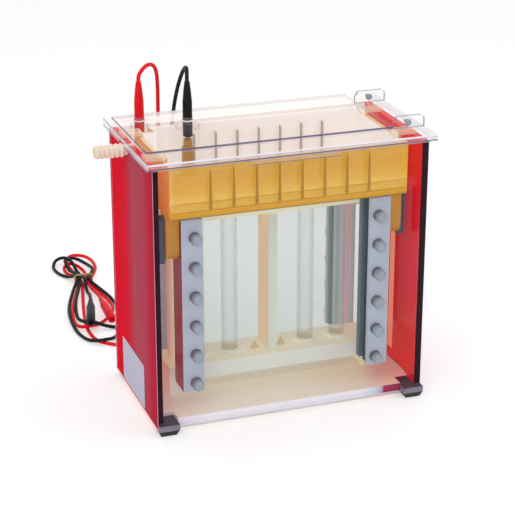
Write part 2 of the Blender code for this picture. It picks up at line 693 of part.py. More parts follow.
def lid_lugs():
    """Two upright clear lugs at the lid's right end, round at the free top corner."""
    radius = 4 * MM
    low = LID_Z[1] + GAP
    for name, y in LUG_Y.items():
        shape = [(LUG_X[0], low), (LUG_X[1], low)]
        shape += arc((LUG_X[1] - radius, LUG_TOP - radius), radius, 0, 90, 6)
        shape += [(LUG_X[0] + 3 * MM, LUG_TOP), (LUG_X[0], LUG_TOP - 5 * MM)]
        outline(name, shape, LUG_T, "XZ", (0, y, 0), "clear")


def lead_fittings():
    """Clear collar under the lid and the insulated plug through it, for each lead."""
    collar_low = LID_Z[0] - GAP - 3.6 * MM
    bottom, shoulder, top = BOOT_Z
    for colour, (x, y) in (("red", RED_XY), ("black", BLACK_XY)):
        radius = 8 * MM if colour == "red" else COLLAR_R
        ring = [(radius, LID_Z[0] - GAP), (radius, collar_low), (BOOT_R + GAP, collar_low),
                (BOOT_R + GAP, LID_Z[0] - GAP)]
        turned(f"{colour}_lead_collar", ring, (x, y, 0), "clear", closed=True)
        bore_top = POST_TOP + 14 * MM
        profile = [(0, top), (LEAD_R + 0.5 * MM, top), (3.3 * MM, top - 8 * MM), (BOOT_R, shoulder),
                   (BOOT_R, bottom), (PIN_R + 0.4 * MM, bottom), (PIN_R + 0.4 * MM, bore_top),
                   (0, bore_top)]
        turned(f"{colour}_lead_boot", profile, (x, y, 0), f"{colour}_vinyl")


def points(rows):
    """Route points given in millimetres."""
    return [Vector(row) * MM for row in rows]


RED_ROUTE = points([
    (-99.5, 52.8, 280.6), (-98.8, 53.3, 285), (-95, 56.2, 288.8), (-90.5, 59.6, 291),
    (-86, 62.8, 291.2), (-81.4, 66.6, 288.2), (-77.8, 71.2, 280), (-75.8, 76, 266),
    (-74.8, 79.6, 248), (-74.4, 81.6, 225), (-74.3, 82, 180), (-74.4, 82, 120), (-74.6, 82, 60),
    (-75, 82.3, 26), (-76.6, 85, 11), (-81.5, 91.5, 3.6), (-89, 101, 1.9), (-97, 112, 1.9),
    (-103.2, 122.3, 1.9)])
BLACK_ROUTE = points([
    (-60, 39, 280.6), (-59.9, 39.5, 284.6), (-58.8, 43, 288.2), (-57.6, 48.5, 289.4),
    (-57.6, 54.5, 287), (-58.8, 60.5, 279), (-60.4, 66.4, 267), (-61.8, 72.2, 251),
    (-62.8, 77.2, 231), (-63.6, 80.6, 206), (-64.4, 82, 160), (-64.8, 82, 90), (-65, 82, 40),
    (-65.4, 83.4, 20), (-67, 88.5, 8.5), (-69.6, 98, 2.9), (-72.5, 111, 1.9), (-76, 128, 1.9),
    (-79.6, 147, 1.9), (-82.9, 163, 1.9)])
LOWER_LOOP = ((-110 * MM, 207 * MM), (29 * MM, 80 * MM))     # centre, half sizes
UPPER_LOOP = ((-97 * MM, 330 * MM), (24 * MM, 46 * MM))
WAIST = (-104.5 * MM, 284.5 * MM)
WAIST_HALF = 8 * MM


def oval(centre, half, start, end, steps):
    """Points on part of an oval, with angles in degrees."""
    turns = [math.radians(start + (end - start) * i / steps) for i in range(steps + 1)]
    return [(centre[0] + half[0] * math.cos(t), centre[1] + half[1] * math.sin(t)) for t in turns]


def hank():
    """Both leads' spare length, wound in a figure of eight and lying on the floor."""
    low, high = HANK_Z
    shape = oval(*LOWER_LOOP, 110, 430, 22)
    shape += oval(*UPPER_LOOP, -70, 250, 20)
    outline("lead_hank", shape, high - low, "XY", (0, 0, (low + high) / 2), "red_vinyl")


def hank_tie():
    """A flat band round the hank's waist."""
    low, high = HANK_Z
    half_x, band = 16 * MM, 1 * MM
    outer = [(-half_x - band, 0.2 * MM), (half_x + band, 0.2 * MM),
             (half_x + band, high + GAP + band), (-half_x - band, high + GAP + band)]
    ring = outline("hank_tie", outer, 4 * MM, "XZ", (WAIST[0], WAIST[1], 0), "tie_plastic")
    inside = box("tie_inside", (WAIST[0] - half_x, WAIST[1] - 9 * MM, low - GAP),
                 (WAIST[0] + half_x, WAIST[1] + 9 * MM, high + GAP))
    combine(ring, inside)


def hank_plug(name, tail, nose, slot):
    """The insulated plug at a lead's far end, lying on the hank: sleeve, ring and bare tip."""
    radius = 4.4 * MM
    along = nose - tail
    length = along.length
    profile = [(0, length), (2.2 * MM, length), (2.2 * MM, length - 1 * MM),
               (radius - 0.8 * MM, length - 1 * MM), (radius, length - 4 * MM), (radius, 14 * MM),
               (2.6 * MM, 6 * MM), (2.3 * MM, 0), (0, 0)]
    made = turned(name, profile, tail, slot, steps=16)
    made.rotation_mode = "QUATERNION"
    made.rotation_quaternion = along.to_track_quat("Z", "Y")


def leads():
    """The free stretches of the leads, the hank, its tie and the plugs on it."""
    wire("red_lead", smooth_route(RED_ROUTE, LEAD_STEP), LEAD_R, "red_vinyl")
    wire("black_lead", smooth_route(BLACK_ROUTE, LEAD_STEP), LEAD_R, "black_vinyl")
    hank()
    hank_tie()
    lift = HANK_Z[1] + 4.8 * MM
    hank_plug("black_lead_plug", Vector((-101 * MM, 238 * MM, lift)),
              Vector((-118 * MM, 180 * MM, lift)), "black_vinyl")
    hank_plug("red_lead_plug", Vector((-89.5 * MM, 236 * MM, lift)),
              Vector((-95 * MM, 180 * MM, lift)), "red_vinyl")


def build():
    """Makes every part."""
    side_panels()
    end_panels()
    base_plate()
    feet()
    lower_electrode()
    lower_manifold()
    upper_manifold()
    tubes_and_post()
    inlet()
    upper_chamber()
    gaskets()
    upper_electrode()
    sandwiches()
    corners(clamp)
    corners(pressure_bar)
    corners(cam)
    lid()
    lid_lugs()
    lead_fittings()
    leads()


build()
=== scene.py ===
"""Looks for the gel electrophoresis tank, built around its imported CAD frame.

Most CAD nodes keep their shape and get a finish here. The leads, their tie and far plugs, the
pressure bars with their thumbscrews and the feet are modelled here in place of the plain CAD
solids. The chamber's ribs, the label and other small details are extra pieces. All of them ride
on the CAD bodies. The shared frame is in metres with +Z up. Unless a docstring says otherwise,
places and sizes without MM are in millimetres, with x and y from the tank's own middle.
"""
import math

import bmesh
import bpy
from mathutils import Matrix, Vector


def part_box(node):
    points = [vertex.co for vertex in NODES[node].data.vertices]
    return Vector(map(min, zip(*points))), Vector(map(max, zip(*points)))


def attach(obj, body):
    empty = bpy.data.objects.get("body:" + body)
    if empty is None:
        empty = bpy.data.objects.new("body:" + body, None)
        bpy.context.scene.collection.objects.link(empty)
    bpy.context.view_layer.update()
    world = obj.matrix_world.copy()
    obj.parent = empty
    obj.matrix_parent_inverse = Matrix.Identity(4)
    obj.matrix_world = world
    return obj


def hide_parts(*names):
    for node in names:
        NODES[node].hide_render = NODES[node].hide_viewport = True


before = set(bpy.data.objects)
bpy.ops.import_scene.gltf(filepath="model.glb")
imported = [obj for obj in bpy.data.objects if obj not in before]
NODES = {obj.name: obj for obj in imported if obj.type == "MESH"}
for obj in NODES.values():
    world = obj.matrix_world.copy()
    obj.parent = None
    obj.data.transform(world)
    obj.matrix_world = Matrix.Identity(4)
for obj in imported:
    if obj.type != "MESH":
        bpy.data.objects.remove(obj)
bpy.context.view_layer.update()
MM = 0.001
ORIGIN = Vector((12, 0, 0)) * MM
CORNERS = [(fore, y, hand, x) for fore, y in (("front", -1), ("rear", 1))
           for hand, x in (("left", -1), ("right", 1))]


# ---------------------------------------------------------------- places

def spot(x, y, z):
    """A place in the shared frame, given in millimetres from the tank's own middle."""
    return ORIGIN + Vector((x, y, z)) * MM


def at(x, y, z):
    """The matrix that moves something to a spot."""
    return Matrix.Translation(spot(x, y, z))


def box_of(node):
    """The two corners of a CAD node's box, in millimetres from the tank's own middle."""
    return [(corner - ORIGIN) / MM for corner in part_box(node)]


def middle_of(node):
    """The middle of a CAD node's box, in millimetres from the tank's own middle."""
    low, high = box_of(node)
    return (low + high) / 2


# ---------------------------------------------------------------- camera

def make_camera():
    """A long lens, a little left of the front and above it."""
    azimuth, elevation, distance = math.radians(-19.5), math.radians(21.25), 1468 * MM
    target = Vector((2.6, 0, 125)) * MM
    back = Vector((math.sin(azimuth) * math.cos(elevation),
                   -math.cos(azimuth) * math.cos(elevation), math.sin(elevation)))
    data = bpy.data.cameras.new("camera")
    data.lens = 116.24
    data.sensor_width = 36
    camera = bpy.data.objects.new("camera", data)
    camera.location = target + back * distance
    camera.rotation_mode = "QUATERNION"
    camera.rotation_quaternion = (-back).to_track_quat("-Z", "Y")
    bpy.context.scene.collection.objects.link(camera)
    bpy.context.scene.camera = camera


# ---------------------------------------------------------------- materials

DRIFT = 0.06
THIN_BLEND = 0.16
WHITE = (1.0, 1.0, 1.0)
DIM = (0.92, 0.92, 0.92)


def noise(nodes, place, scale, detail):
    """A noise texture in an object's own coordinates, in the frame's metres."""
    made = nodes.new("ShaderNodeTexNoise")
    made.inputs["Scale"].default_value = scale
    made.inputs["Detail"].default_value = detail
    nodes.id_data.links.new(place.outputs["Object"], made.inputs["Vector"])
    return made


def material(name, colour, rough=0.4, alpha=1.0, metal=0.0, second=None, grain=300.0, bump=0.02,
             gloss=0.5, glow=0.0):
    """A Principled material whose colour, roughness and bump vary with noise at a real scale.

    grain is the frequency per metre of the fine noise, which drives roughness and relief. The
    colour drifts to second more slowly, and bump is the relief in millimetres.
    """
    made = bpy.data.materials.new(name)
    made.use_nodes = True
    nodes, links = made.node_tree.nodes, made.node_tree.links
    shader = nodes["Principled BSDF"]
    place = nodes.new("ShaderNodeTexCoord")
    broad = noise(nodes, place, grain * DRIFT, 3)
    fine = noise(nodes, place, grain, 4)
    tint = nodes.new("ShaderNodeMix")
    tint.data_type = "RGBA"
    second = second or tuple(c * 0.88 for c in colour)
    tint.inputs["A"].default_value = (*colour, 1)
    tint.inputs["B"].default_value = (*second, 1)
    shine = nodes.new("ShaderNodeMapRange")
    shine.inputs["To Min"].default_value = max(0.0, rough - 0.05)
    shine.inputs["To Max"].default_value = min(1.0, rough + 0.07)
    relief = nodes.new("ShaderNodeBump")
    relief.inputs["Strength"].default_value = 0.6
    relief.inputs["Distance"].default_value = bump * MM
    links.new(broad.outputs["Fac"], tint.inputs["Factor"])
    links.new(tint.outputs["Result"], shader.inputs["Base Color"])
    links.new(fine.outputs["Fac"], shine.inputs["Value"])
    links.new(shine.outputs["Result"], shader.inputs["Roughness"])
    links.new(fine.outputs["Fac"], relief.inputs["Height"])
    links.new(relief.outputs["Normal"], shader.inputs["Normal"])
    shader.inputs["Metallic"].default_value = metal
    shader.inputs["Alpha"].default_value = alpha
    shader.inputs["Specular IOR Level"].default_value = gloss
    # glow gives off the surface's own colour as light: on the tank's parts this is painted light
    # that lifts them out of shade, on the floor it keeps the backdrop evenly bright
    if glow:
        links.new(tint.outputs["Result"], shader.inputs["Emission Color"])
        shader.inputs["Emission Strength"].default_value = glow
    return made


def srgb(r, g, b):
    """A colour given as 0 to 255 sRGB, as linear values."""
    return tuple(((c / 255 + 0.055) / 1.055) ** 2.4 if c > 10 else c / 3294.6 for c in (r, g, b))


def banded(made, axis, stops):
    """Drives a material's colour and alpha along an axis of the shared frame.

    Each of stops is a place on the axis in millimetres from the frame's origin, a colour and an
    alpha.
    """
    nodes, links = made.node_tree.nodes, made.node_tree.links
    shader = nodes["Principled BSDF"]
    place = nodes.new("ShaderNodeTexCoord")
    split = nodes.new("ShaderNodeSeparateXYZ")
    along = nodes.new("ShaderNodeMapRange")
    along.inputs["From Min"].default_value = stops[0][0] * MM
    along.inputs["From Max"].default_value = stops[-1][0] * MM
    ramp = nodes.new("ShaderNodeValToRGB")
    marks = ramp.color_ramp.elements
    span = stops[-1][0] - stops[0][0]
    marks.remove(marks[-1])
    marks[0].color = (*stops[0][1], stops[0][2])
    for where, colour, alpha in stops[1:]:
        marks.new((where - stops[0][0]) / span).color = (*colour, alpha)
    tint = next(n for n in nodes if n.type == "MIX")
    blend = nodes.new("ShaderNodeMix")
    blend.data_type = "RGBA"
    blend.blend_type = "MULTIPLY"
    blend.inputs["Factor"].default_value = 1
    links.new(place.outputs["Object"], split.inputs["Vector"])
    links.new(split.outputs["XYZ".index(axis)], along.inputs["Value"])
    links.new(along.outputs["Result"], ramp.inputs["Fac"])
    links.new(tint.outputs["Result"], blend.inputs["A"])
    links.new(ramp.outputs["Color"], blend.inputs["B"])
    links.new(blend.outputs["Result"], shader.inputs["Base Color"])
    links.new(ramp.outputs["Alpha"], shader.inputs["Alpha"])
    return made


def thin_wall(made, facing, grazing):
    """Makes a material nearly clear where it faces the eye and greyer at grazing angles."""
    nodes, links = made.node_tree.nodes, made.node_tree.links
    layer = nodes.new("ShaderNodeLayerWeight")
    layer.inputs["Blend"].default_value = THIN_BLEND
    span = nodes.new("ShaderNodeMapRange")
    span.inputs["To Min"].default_value = facing
    span.inputs["To Max"].default_value = grazing
    links.new(layer.outputs["Facing"], span.inputs["Value"])
    links.new(span.outputs["Result"], nodes["Principled BSDF"].inputs["Alpha"])
    return made


# Looks with glow are painted light: they give off their own colour to brighten parts that lie in
# shade
LOOKS = {
    # Red side panels
    # Outer faces of the red side panels, drawn along y: red with a paler, greyer band ahead of the
    # middle, a painted reflection of the lights; their own gloss is off
    "red_outside_painted_reflection": banded(
        material("red_acrylic_outside_painted_reflection", WHITE, 0.3, second=(0.97, 0.9, 0.92), grain=150,
                 bump=0.003, gloss=0.0), "Y", [
            (-68, srgb(190, 40, 64), 1), (-52, srgb(184, 50, 72), 1), (-36, srgb(180, 72, 88), 1),
            (-4, srgb(176, 80, 94), 1), (10, srgb(194, 56, 74), 1), (24, srgb(218, 36, 54), 1),
            (68, srgb(220, 28, 48), 1)]),
    "red_inside": material("red_acrylic_inside", srgb(226, 14, 28), 0.03, second=srgb(216, 10, 30),
                           grain=60, bump=0.0, glow=0.2, gloss=0.35),
    # Front and rear edges of the red side panels, near-black maroon: painted shade where they lie
    # behind the clear panels
    "red_edge_painted_shade": material("red_acrylic_edge_painted_shade", srgb(50, 14, 26), 0.3, second=srgb(40, 20, 34),
                         grain=60, bump=0.0, gloss=0.0),
    # A pink-white strip along the foot of the left panel's outer face: a painted highlight on its
    # lower edge
    "red_lower_highlight": material("red_acrylic_lower_highlight", srgb(250, 190, 190), 0.2,
                         second=srgb(240, 120, 126), grain=260, bump=0.01, gloss=0.5),
    # A glowing pale orange strip inside the right panel: a painted reflection on the red
    "band": material("side_painted_reflection", srgb(240, 158, 126), 0.3, alpha=0.9,
                     second=srgb(234, 140, 112), grain=200, bump=0.0, gloss=0.1, glow=0.35),
    "label": material("blank_label", srgb(190, 188, 206), 0.5, second=srgb(176, 174, 196),
                      grain=160, bump=0.01, gloss=0.2),
    # Clear front and back panels
    "clear": material("clear_acrylic_sheet", srgb(120, 130, 140), 0.03, alpha=0.02,
                      grain=40, bump=0.0),
    "clear_edge": material("clear_acrylic_edge", srgb(150, 146, 166), 0.12, alpha=0.6,
                           second=srgb(206, 206, 220), grain=700, bump=0.03, gloss=0.3),
    "clear_back": banded(
        material("clear_acrylic_back", WHITE, 0.2, second=DIM, grain=60, bump=0.0, gloss=0.1,
                 glow=0.12), "Z", [
            (6, srgb(214, 228, 226), 0.24), (120, srgb(220, 234, 236), 0.16),
            (180, srgb(220, 234, 240), 0.16), (206, srgb(244, 240, 234), 0.28),
            (238, srgb(248, 244, 238), 0.36)]),
    # Top and bottom faces of the back panel, pale and glowing: painted light that keeps them from
    # reading brown in shade
    "pale_edge": material("clear_back_top_painted_light", srgb(244, 240, 236), 0.2, alpha=0.9,
                          second=srgb(238, 232, 228), grain=60, bump=0.0, gloss=0.1, glow=0.3),
    # End faces of the clear panels, drawn along y: pink-white painted highlights at both corners,
    # with the side panel's red between them
    "panel_end": banded(
        material("clear_panel_end_painted_highlight", WHITE, 0.15, second=DIM, grain=60, bump=0.0, gloss=0.0),
        "Y", [(-68.5, srgb(236, 190, 200), 0.9), (-67.2, srgb(236, 180, 192), 0.9),
              (-66.8, srgb(190, 40, 66), 1), (66.8, srgb(190, 60, 80), 1),
              (67.2, srgb(236, 190, 190), 0.9), (68.5, srgb(236, 200, 200), 0.9)]),
    # Floor and feet
    # The floor sheet, drawn across x: cream, turning pink towards the right panel, a painted red
    # light bounced from that panel
    "cream_floor": banded(
        material("cream_floor_sheet_painted_red_bounce", WHITE, 0.28, second=(0.95, 0.93, 0.88), grain=350, bump=0.01,
                 glow=0.12, gloss=0.3), "X", [
            (-111, srgb(232, 220, 206), 1), (40, srgb(228, 218, 202), 1),
            (85, srgb(230, 206, 184), 1), (112, srgb(236, 176, 150), 1),
            (135, srgb(230, 140, 120), 1)]),
    # Front face of the floor sheet, drawn across x: a white painted highlight, turning to painted
    # blue and red reflections towards its right end. The boots' highlight rings use it too
    "painted_highlight_edge": banded(
        material("floor_edge_painted_highlight", WHITE, 0.25, second=DIM, grain=300, bump=0.01, gloss=0.3), "X", [
            (-110, srgb(232, 224, 240), 1), (-60, srgb(250, 246, 252), 1),
            (80, srgb(246, 242, 252), 1), (92, srgb(206, 220, 238), 1),
            (97, srgb(206, 190, 210), 1), (100, srgb(170, 40, 84), 1), (140, srgb(130, 30, 60), 1)]),
    "joint": material("floor_joint_bead", srgb(246, 226, 196), 0.3, second=srgb(236, 206, 170),
                      grain=500, bump=0.03),
    "rubber": material("black_foot_rubber", srgb(34, 44, 50), 0.5, second=srgb(24, 30, 36),
                       grain=1500, bump=0.08, gloss=0.3),
    # Painted lit and shaded copies of the black foot rubber: the lightest, glowing one goes on the
    # upright sides, the mid grey one on the tops
    "rubber_top": material("foot_rubber_painted_lit_sides", srgb(132, 120, 134), 0.42,
                           second=srgb(108, 102, 116), grain=1500, bump=0.06, gloss=0.3, glow=0.1),
    "rubber_dark": material("foot_rubber_painted_mid_top", srgb(78, 74, 88), 0.42,
                            second=srgb(66, 66, 78), grain=1500, bump=0.06, gloss=0.3),
    # Lid
    "clear_lid": material("clear_lid_sheet", srgb(190, 176, 186), 0.05, alpha=0.045,
                          grain=40, bump=0.0),
    # Left side of the lid, drawn by height: a white painted highlight between dark grey lines
    "lid_side": banded(
        material("lid_side_skirt_painted_highlight", WHITE, 0.12, second=DIM, grain=300, bump=0.01, gloss=0.2), "Z", [
            (237.5, srgb(104, 106, 132), 0.85), (238.9, srgb(112, 114, 140), 0.85),
            (239.3, srgb(226, 226, 234), 0.5), (242.6, srgb(238, 238, 246), 0.7),
            (243.6, srgb(240, 240, 248), 0.8), (243.9, srgb(110, 110, 138), 0.85),
            (245, srgb(120, 120, 148), 0.85)]),
    # Front skirt of the lid, drawn by height: faint stretches and grey lines, with a lavender-white
    # painted highlight along its top
    "lid_front": banded(
        material("lid_front_skirt_painted_highlight", WHITE, 0.12, second=DIM, grain=300, bump=0.01, gloss=0.3),
        "Z", [(235, srgb(120, 118, 124), 0.8), (236, srgb(120, 118, 124), 0.8),
              (236.6, srgb(220, 216, 220), 0.12), (239.9, srgb(220, 216, 220), 0.12),
              (240.0, srgb(104, 94, 114), 0.9), (241.0, srgb(110, 100, 122), 0.85),
              (241.3, srgb(226, 222, 230), 0.15), (242.8, srgb(226, 222, 230), 0.2),
              (243.1, srgb(140, 128, 160), 0.8), (243.7, srgb(238, 232, 248), 0.95),
              (245, srgb(244, 240, 250), 0.95)]),
    # Rear skirt of the lid, pale and glowing: painted light that lifts it out of shade
    "lid_rear": material("lid_rear_skirt_painted_light", srgb(244, 242, 240), 0.3, alpha=0.7,
                         second=srgb(238, 236, 234), grain=60, bump=0.0, gloss=0.0, glow=0.35),
    # Underside of the lid's front flange, dark purple: a painted shadow in the gap above the front
    # panel
    "lid_under": material("lid_underside_painted_shadow", srgb(84, 70, 92), 0.3, alpha=0.7,
                          second=srgb(110, 98, 118), grain=500, bump=0.02, gloss=0.2),
    "lid_line": banded(
        material("lid_step_front", WHITE, 0.15, second=DIM, grain=500, bump=0.02, gloss=0.3), "Z", [
            (245, srgb(190, 186, 206), 0.25), (246.6, srgb(190, 186, 206), 0.3),
            (246.9, srgb(98, 94, 132), 0.9), (248.5, srgb(110, 106, 146), 0.9)]),
    "lid_faint": material("lid_step_rear", srgb(176, 168, 176), 0.15, alpha=0.22,
                          second=srgb(190, 184, 190), grain=500, bump=0.02, gloss=0.3),
    "lug_edge": material("lug_edge", srgb(104, 104, 116), 0.15, alpha=0.75,
                         second=srgb(150, 150, 164), grain=500, bump=0.03, gloss=0.3),
    "collar": thin_wall(material("collar_side", srgb(140, 134, 128), 0.05,
                                 second=srgb(120, 116, 110), grain=40, bump=0.0), 0.05, 0.7),
    # Heat exchanger
    "cream": material("cream_moulding", srgb(236, 232, 208), 0.42, second=srgb(230, 222, 192),
                      grain=900, bump=0.03, glow=0.2, gloss=0.3),
    "cream_front": material("cream_moulding_front", srgb(230, 230, 222), 0.35,
                            second=srgb(220, 220, 208), grain=600, bump=0.02, glow=0.14),
    "cream_upper": material("cream_upper_moulding", srgb(240, 238, 204), 0.4,
                            second=srgb(230, 226, 188), grain=600, bump=0.02, glow=0.3),
    "post": material("centre_post_front", srgb(226, 228, 216), 0.4, second=srgb(214, 218, 204),
                     grain=600, bump=0.02, glow=0.1),
    # Side faces of the centre post: a tan copy of its cream with strong glow, painted warm light
    "post_side": material("centre_post_side_painted_warm_light", srgb(226, 192, 146), 0.4,
                          second=srgb(212, 176, 128), grain=600, bump=0.02, glow=0.4),
    "barbs": material("hose_fitting_moulding", srgb(236, 218, 202), 0.4,
                      second=srgb(226, 202, 180), grain=900, bump=0.03, glow=0.05, gloss=0.3),
    "tube": thin_wall(material("glass_tube", srgb(150, 166, 164), 0.03, second=srgb(140, 158, 156),
                               grain=40, bump=0.0, gloss=0.3), 0.015, 0.5),
    "bore": material("port_bore", srgb(212, 186, 138), 0.6, second=srgb(190, 160, 112),
                     grain=900, bump=0.05, glow=0.25),
    # Upper chamber
    "amber": material("amber_moulding", srgb(216, 158, 56), 0.2, alpha=0.78,
                      second=srgb(228, 178, 84), grain=260, bump=0.02, gloss=0.3, glow=0.1),
    # The chamber's front wall, drawn by height: amber with darker and brighter lines across it, and
    # a grey band at its foot that is a painted shadow along its bottom edge
    "amber_front": banded(
        material("amber_front_wall_and_painted_shadow", WHITE, 0.2, second=(0.84, 0.76, 0.5), grain=2600,
                 bump=0.05, gloss=0.15), "Z", [
            (150, srgb(206, 160, 80), 0.7), (186, srgb(224, 168, 70), 0.8),
            (190.4, srgb(132, 120, 84), 0.95), (191.1, srgb(132, 120, 84), 0.95),
            (191.4, srgb(222, 160, 40), 0.9), (195.5, srgb(232, 176, 58), 0.85),
            (196.2, srgb(190, 140, 40), 0.85), (197, srgb(240, 196, 90), 0.75),
            (203, srgb(244, 192, 70), 0.75), (203.6, srgb(206, 156, 50), 0.8),
            (204.4, srgb(252, 210, 98), 0.75), (212, srgb(246, 192, 66), 0.75),
            (222, srgb(238, 180, 50), 0.78), (231, srgb(242, 190, 78), 0.78),
            (236.5, srgb(222, 166, 66), 0.85)]),
    "amber_end": material("amber_end_wall", srgb(230, 188, 84), 0.25, alpha=0.95,
                          second=srgb(214, 164, 60), grain=400, bump=0.03, gloss=0.15, glow=0.2),
    # Top faces of the chamber's rim, near white: painted light that washes out the amber
    "amber_rim_painted_light": material("amber_rim_painted_light", srgb(250, 238, 220), 0.3, alpha=0.35,
                          second=srgb(240, 214, 172), grain=300, bump=0.02, gloss=0.3, glow=0.1),
    # Inner faces of the chamber, near white and glowing: painted light that brightens the inside of
    # the tank
    "amber_pale": material("amber_inner_face_painted_light", srgb(238, 238, 238), 0.35, alpha=0.85,
                           second=srgb(234, 230, 228), grain=300, bump=0.02, gloss=0.1, glow=0.3),
    "amber_rib": material("amber_rib_edge", srgb(166, 118, 28), 0.25, alpha=0.95,
                          second=srgb(186, 138, 46), grain=400, bump=0.02, gloss=0.3),
    "amber_far": material("amber_far_rib", srgb(196, 180, 160), 0.3, alpha=0.6,
                          second=srgb(170, 150, 126), grain=400, bump=0.02, gloss=0.3),
    "gasket": material("grey_gasket_rubber", srgb(118, 116, 100), 0.6, second=srgb(96, 94, 84),
                       grain=1200, bump=0.05),
    # Plates, clamps and cams
    "glass": material("plate_glass", srgb(196, 216, 216), 0.02, alpha=0.05,
                      second=srgb(186, 210, 206), grain=30, bump=0.0, gloss=0.5),
    "glass_edge": material("plate_glass_edge", srgb(190, 196, 180), 0.1, alpha=0.1,
                           second=srgb(176, 190, 180), grain=500, bump=0.02, gloss=0.3),
    "glass_side": material("plate_glass_side", srgb(66, 90, 106), 0.1, alpha=0.95,
                           second=srgb(52, 78, 94), grain=500, bump=0.02, gloss=0.3),
    "slate": material("slate_plastic", srgb(38, 62, 78), 0.4, second=srgb(34, 54, 70),
                      grain=700, bump=0.03, gloss=0.15),
    # Inner faces of the clamps' channel, dark slate blue: painted shade
    "channel": material("clamp_channel_painted_shade", srgb(78, 106, 122), 0.35, second=srgb(66, 94, 110),
                        grain=700, bump=0.02, gloss=0.15),
    "clamp": material("clamp_plastic", srgb(176, 184, 200), 0.2, second=srgb(166, 174, 190),
                      grain=500, bump=0.02, gloss=0.3, glow=0.1),
    # The rear right clamp, drawn across x: lightened blue-grey and pink-grey, painted light that
    # lifts it out of shade, with a pink-red line across it
    "clamp_far": banded(
        material("clamp_rear_right_painted_light", WHITE, 0.3, second=DIM, grain=300, bump=0.02,
                 gloss=0.2, glow=0.15), "X", [
            (88, srgb(110, 140, 154), 1), (91, srgb(118, 148, 160), 1), (92, srgb(176, 174, 188), 1),
            (98.6, srgb(190, 172, 188), 1), (99.2, srgb(230, 84, 116), 1),
            (100.4, srgb(230, 96, 126), 1), (101.2, srgb(166, 164, 178), 1),
            (107, srgb(120, 132, 150), 1)]),
    # Outer side faces of the clamps, turned to the red panels: pinkish, a painted reflection of the
    # red
    "clamp_side": material("clamp_side_painted_red_reflection", srgb(158, 96, 112), 0.2, second=srgb(140, 76, 92),
                           grain=300, bump=0.02, gloss=0.3),
    # Thin dark rings round the thumbscrews: painted shade under their heads
    "clamp_screw_shade": material("clamp_screw_painted_shade", srgb(136, 124, 142), 0.45, second=srgb(116, 104, 124),
                           grain=900, bump=0.04, gloss=0.2),
    "screw": material("thumbscrew_plastic", srgb(158, 168, 178), 0.32,
                      second=srgb(142, 154, 166), grain=900, bump=0.04, gloss=0.4),
    "cam": material("dark_cam_plastic", srgb(88, 100, 118), 0.35, second=srgb(70, 82, 98),
                    grain=900, bump=0.03, gloss=0.3),
    # Leads and wires
    "red_vinyl": material("red_lead_vinyl", srgb(226, 10, 26), 0.4, second=srgb(204, 6, 24),
                          grain=1500, bump=0.03, gloss=0.2, glow=0.12),
    "black_vinyl": material("black_lead_vinyl", srgb(20, 27, 30), 0.45,
                            second=srgb(12, 18, 22), grain=1500, bump=0.03, gloss=0.2),
    "tie": material("tie_band", srgb(186, 150, 70), 0.4, alpha=0.9, second=srgb(160, 140, 80),
                    grain=1200, bump=0.03),
    "platinum": material("platinum_wire", srgb(206, 206, 210), 0.22, metal=1.0,
                         second=srgb(190, 190, 196), grain=2000, bump=0.01),
}


def bevelled(made, width, segments=2, from_angle=35):
    """Rounds an object's edges that turn by more than from_angle degrees."""
    step = made.modifiers.new("Bevel", "BEVEL")
    step.width = width * MM
    step.segments = segments
    step.limit_method = "ANGLE"
    step.angle_limit = math.radians(from_angle)
    step.harden_normals = True


def finish(node, key, width=0.0, segments=2, faces=()):
    """Gives a CAD node its material and, where width is set, rounded edges.

    Each of faces is a key of LOOKS and a test that is given a face's centre, in millimetres from the
    tank's own middle, and its normal. The faces that pass the test get that material instead.
    """
    part = NODES[node]
    part.data.materials.clear()
    part.data.materials.append(LOOKS[key])
    for index, (other, test) in enumerate(faces, 1):
        part.data.materials.append(LOOKS[other])
        for face in part.data.polygons:
            if test((face.center - ORIGIN) / MM, face.normal):
                face.material_index = index
    if width:
        bevelled(part, width, segments, 50)


# ---------------------------------------------------------------- mesh helpers

def piece(name, shape, body, key, slot, smooth=True, *stands_for):
    """A bmesh as a piece that rides on a body. Its coordinates are in the shared frame."""
    bmesh.ops.recalc_face_normals(shape, faces=shape.faces)
    mesh = bpy.data.meshes.new(name)
    shape.to_mesh(mesh)
    shape.free()
    if smooth:
        mesh.shade_smooth()
        mesh.set_sharp_from_angle(angle=math.radians(38))
    made = bpy.data.objects.new(name, mesh)
    bpy.context.scene.collection.objects.link(made)
    mesh.materials.append(LOOKS[key])
    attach(made, body)
    if stands_for:
        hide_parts(*stands_for)
    return made


def add_box(shape, low, high, taper=1.0):
    """Adds a box between two corners. taper is the width of its top over that of its foot."""
    low, high = spot(*low), spot(*high)
    for vertex in bmesh.ops.create_cube(shape, size=1.0)["verts"]:
        if vertex.co.z > 0:
            vertex.co.x *= taper
        vertex.co = (low + high) / 2 + (high - low) * vertex.co


def join_rings(shape, rings, closed=False):
    """Adds the faces between rings of points. The two ends are filled, or meet if closed."""
    rows = [[shape.verts.new(point) for point in ring] for ring in rings]
    if closed:
        rows.append(rows[0])
    for a, b in zip(rows, rows[1:]):
        for i in range(len(a)):
            j = (i + 1) % len(a)
            shape.faces.new((a[i], a[j], b[j], b[i]))
    if not closed:
        shape.faces.new(rows[0])
        shape.faces.new(rows[-1])


def add_turned(shape, profile, matrix, steps=24, lobes=0, depth=0.0):
    """Adds a turned profile of (radius, height) pairs. depth is how deep its lobes' flutes go."""
    rings = []
    for radius, height in profile:
        ring = []
        for i in range(steps):
            turn = 2 * math.pi * i / steps
            reach = radius * (1 - depth * (0.5 + 0.5 * math.cos(lobes * turn)))
            local = Vector((reach * math.cos(turn), reach * math.sin(turn), height))
            ring.append(matrix @ (local * MM))
        rings.append(ring)
    join_rings(shape, rings)


# ---------------------------------------------------------------- leads

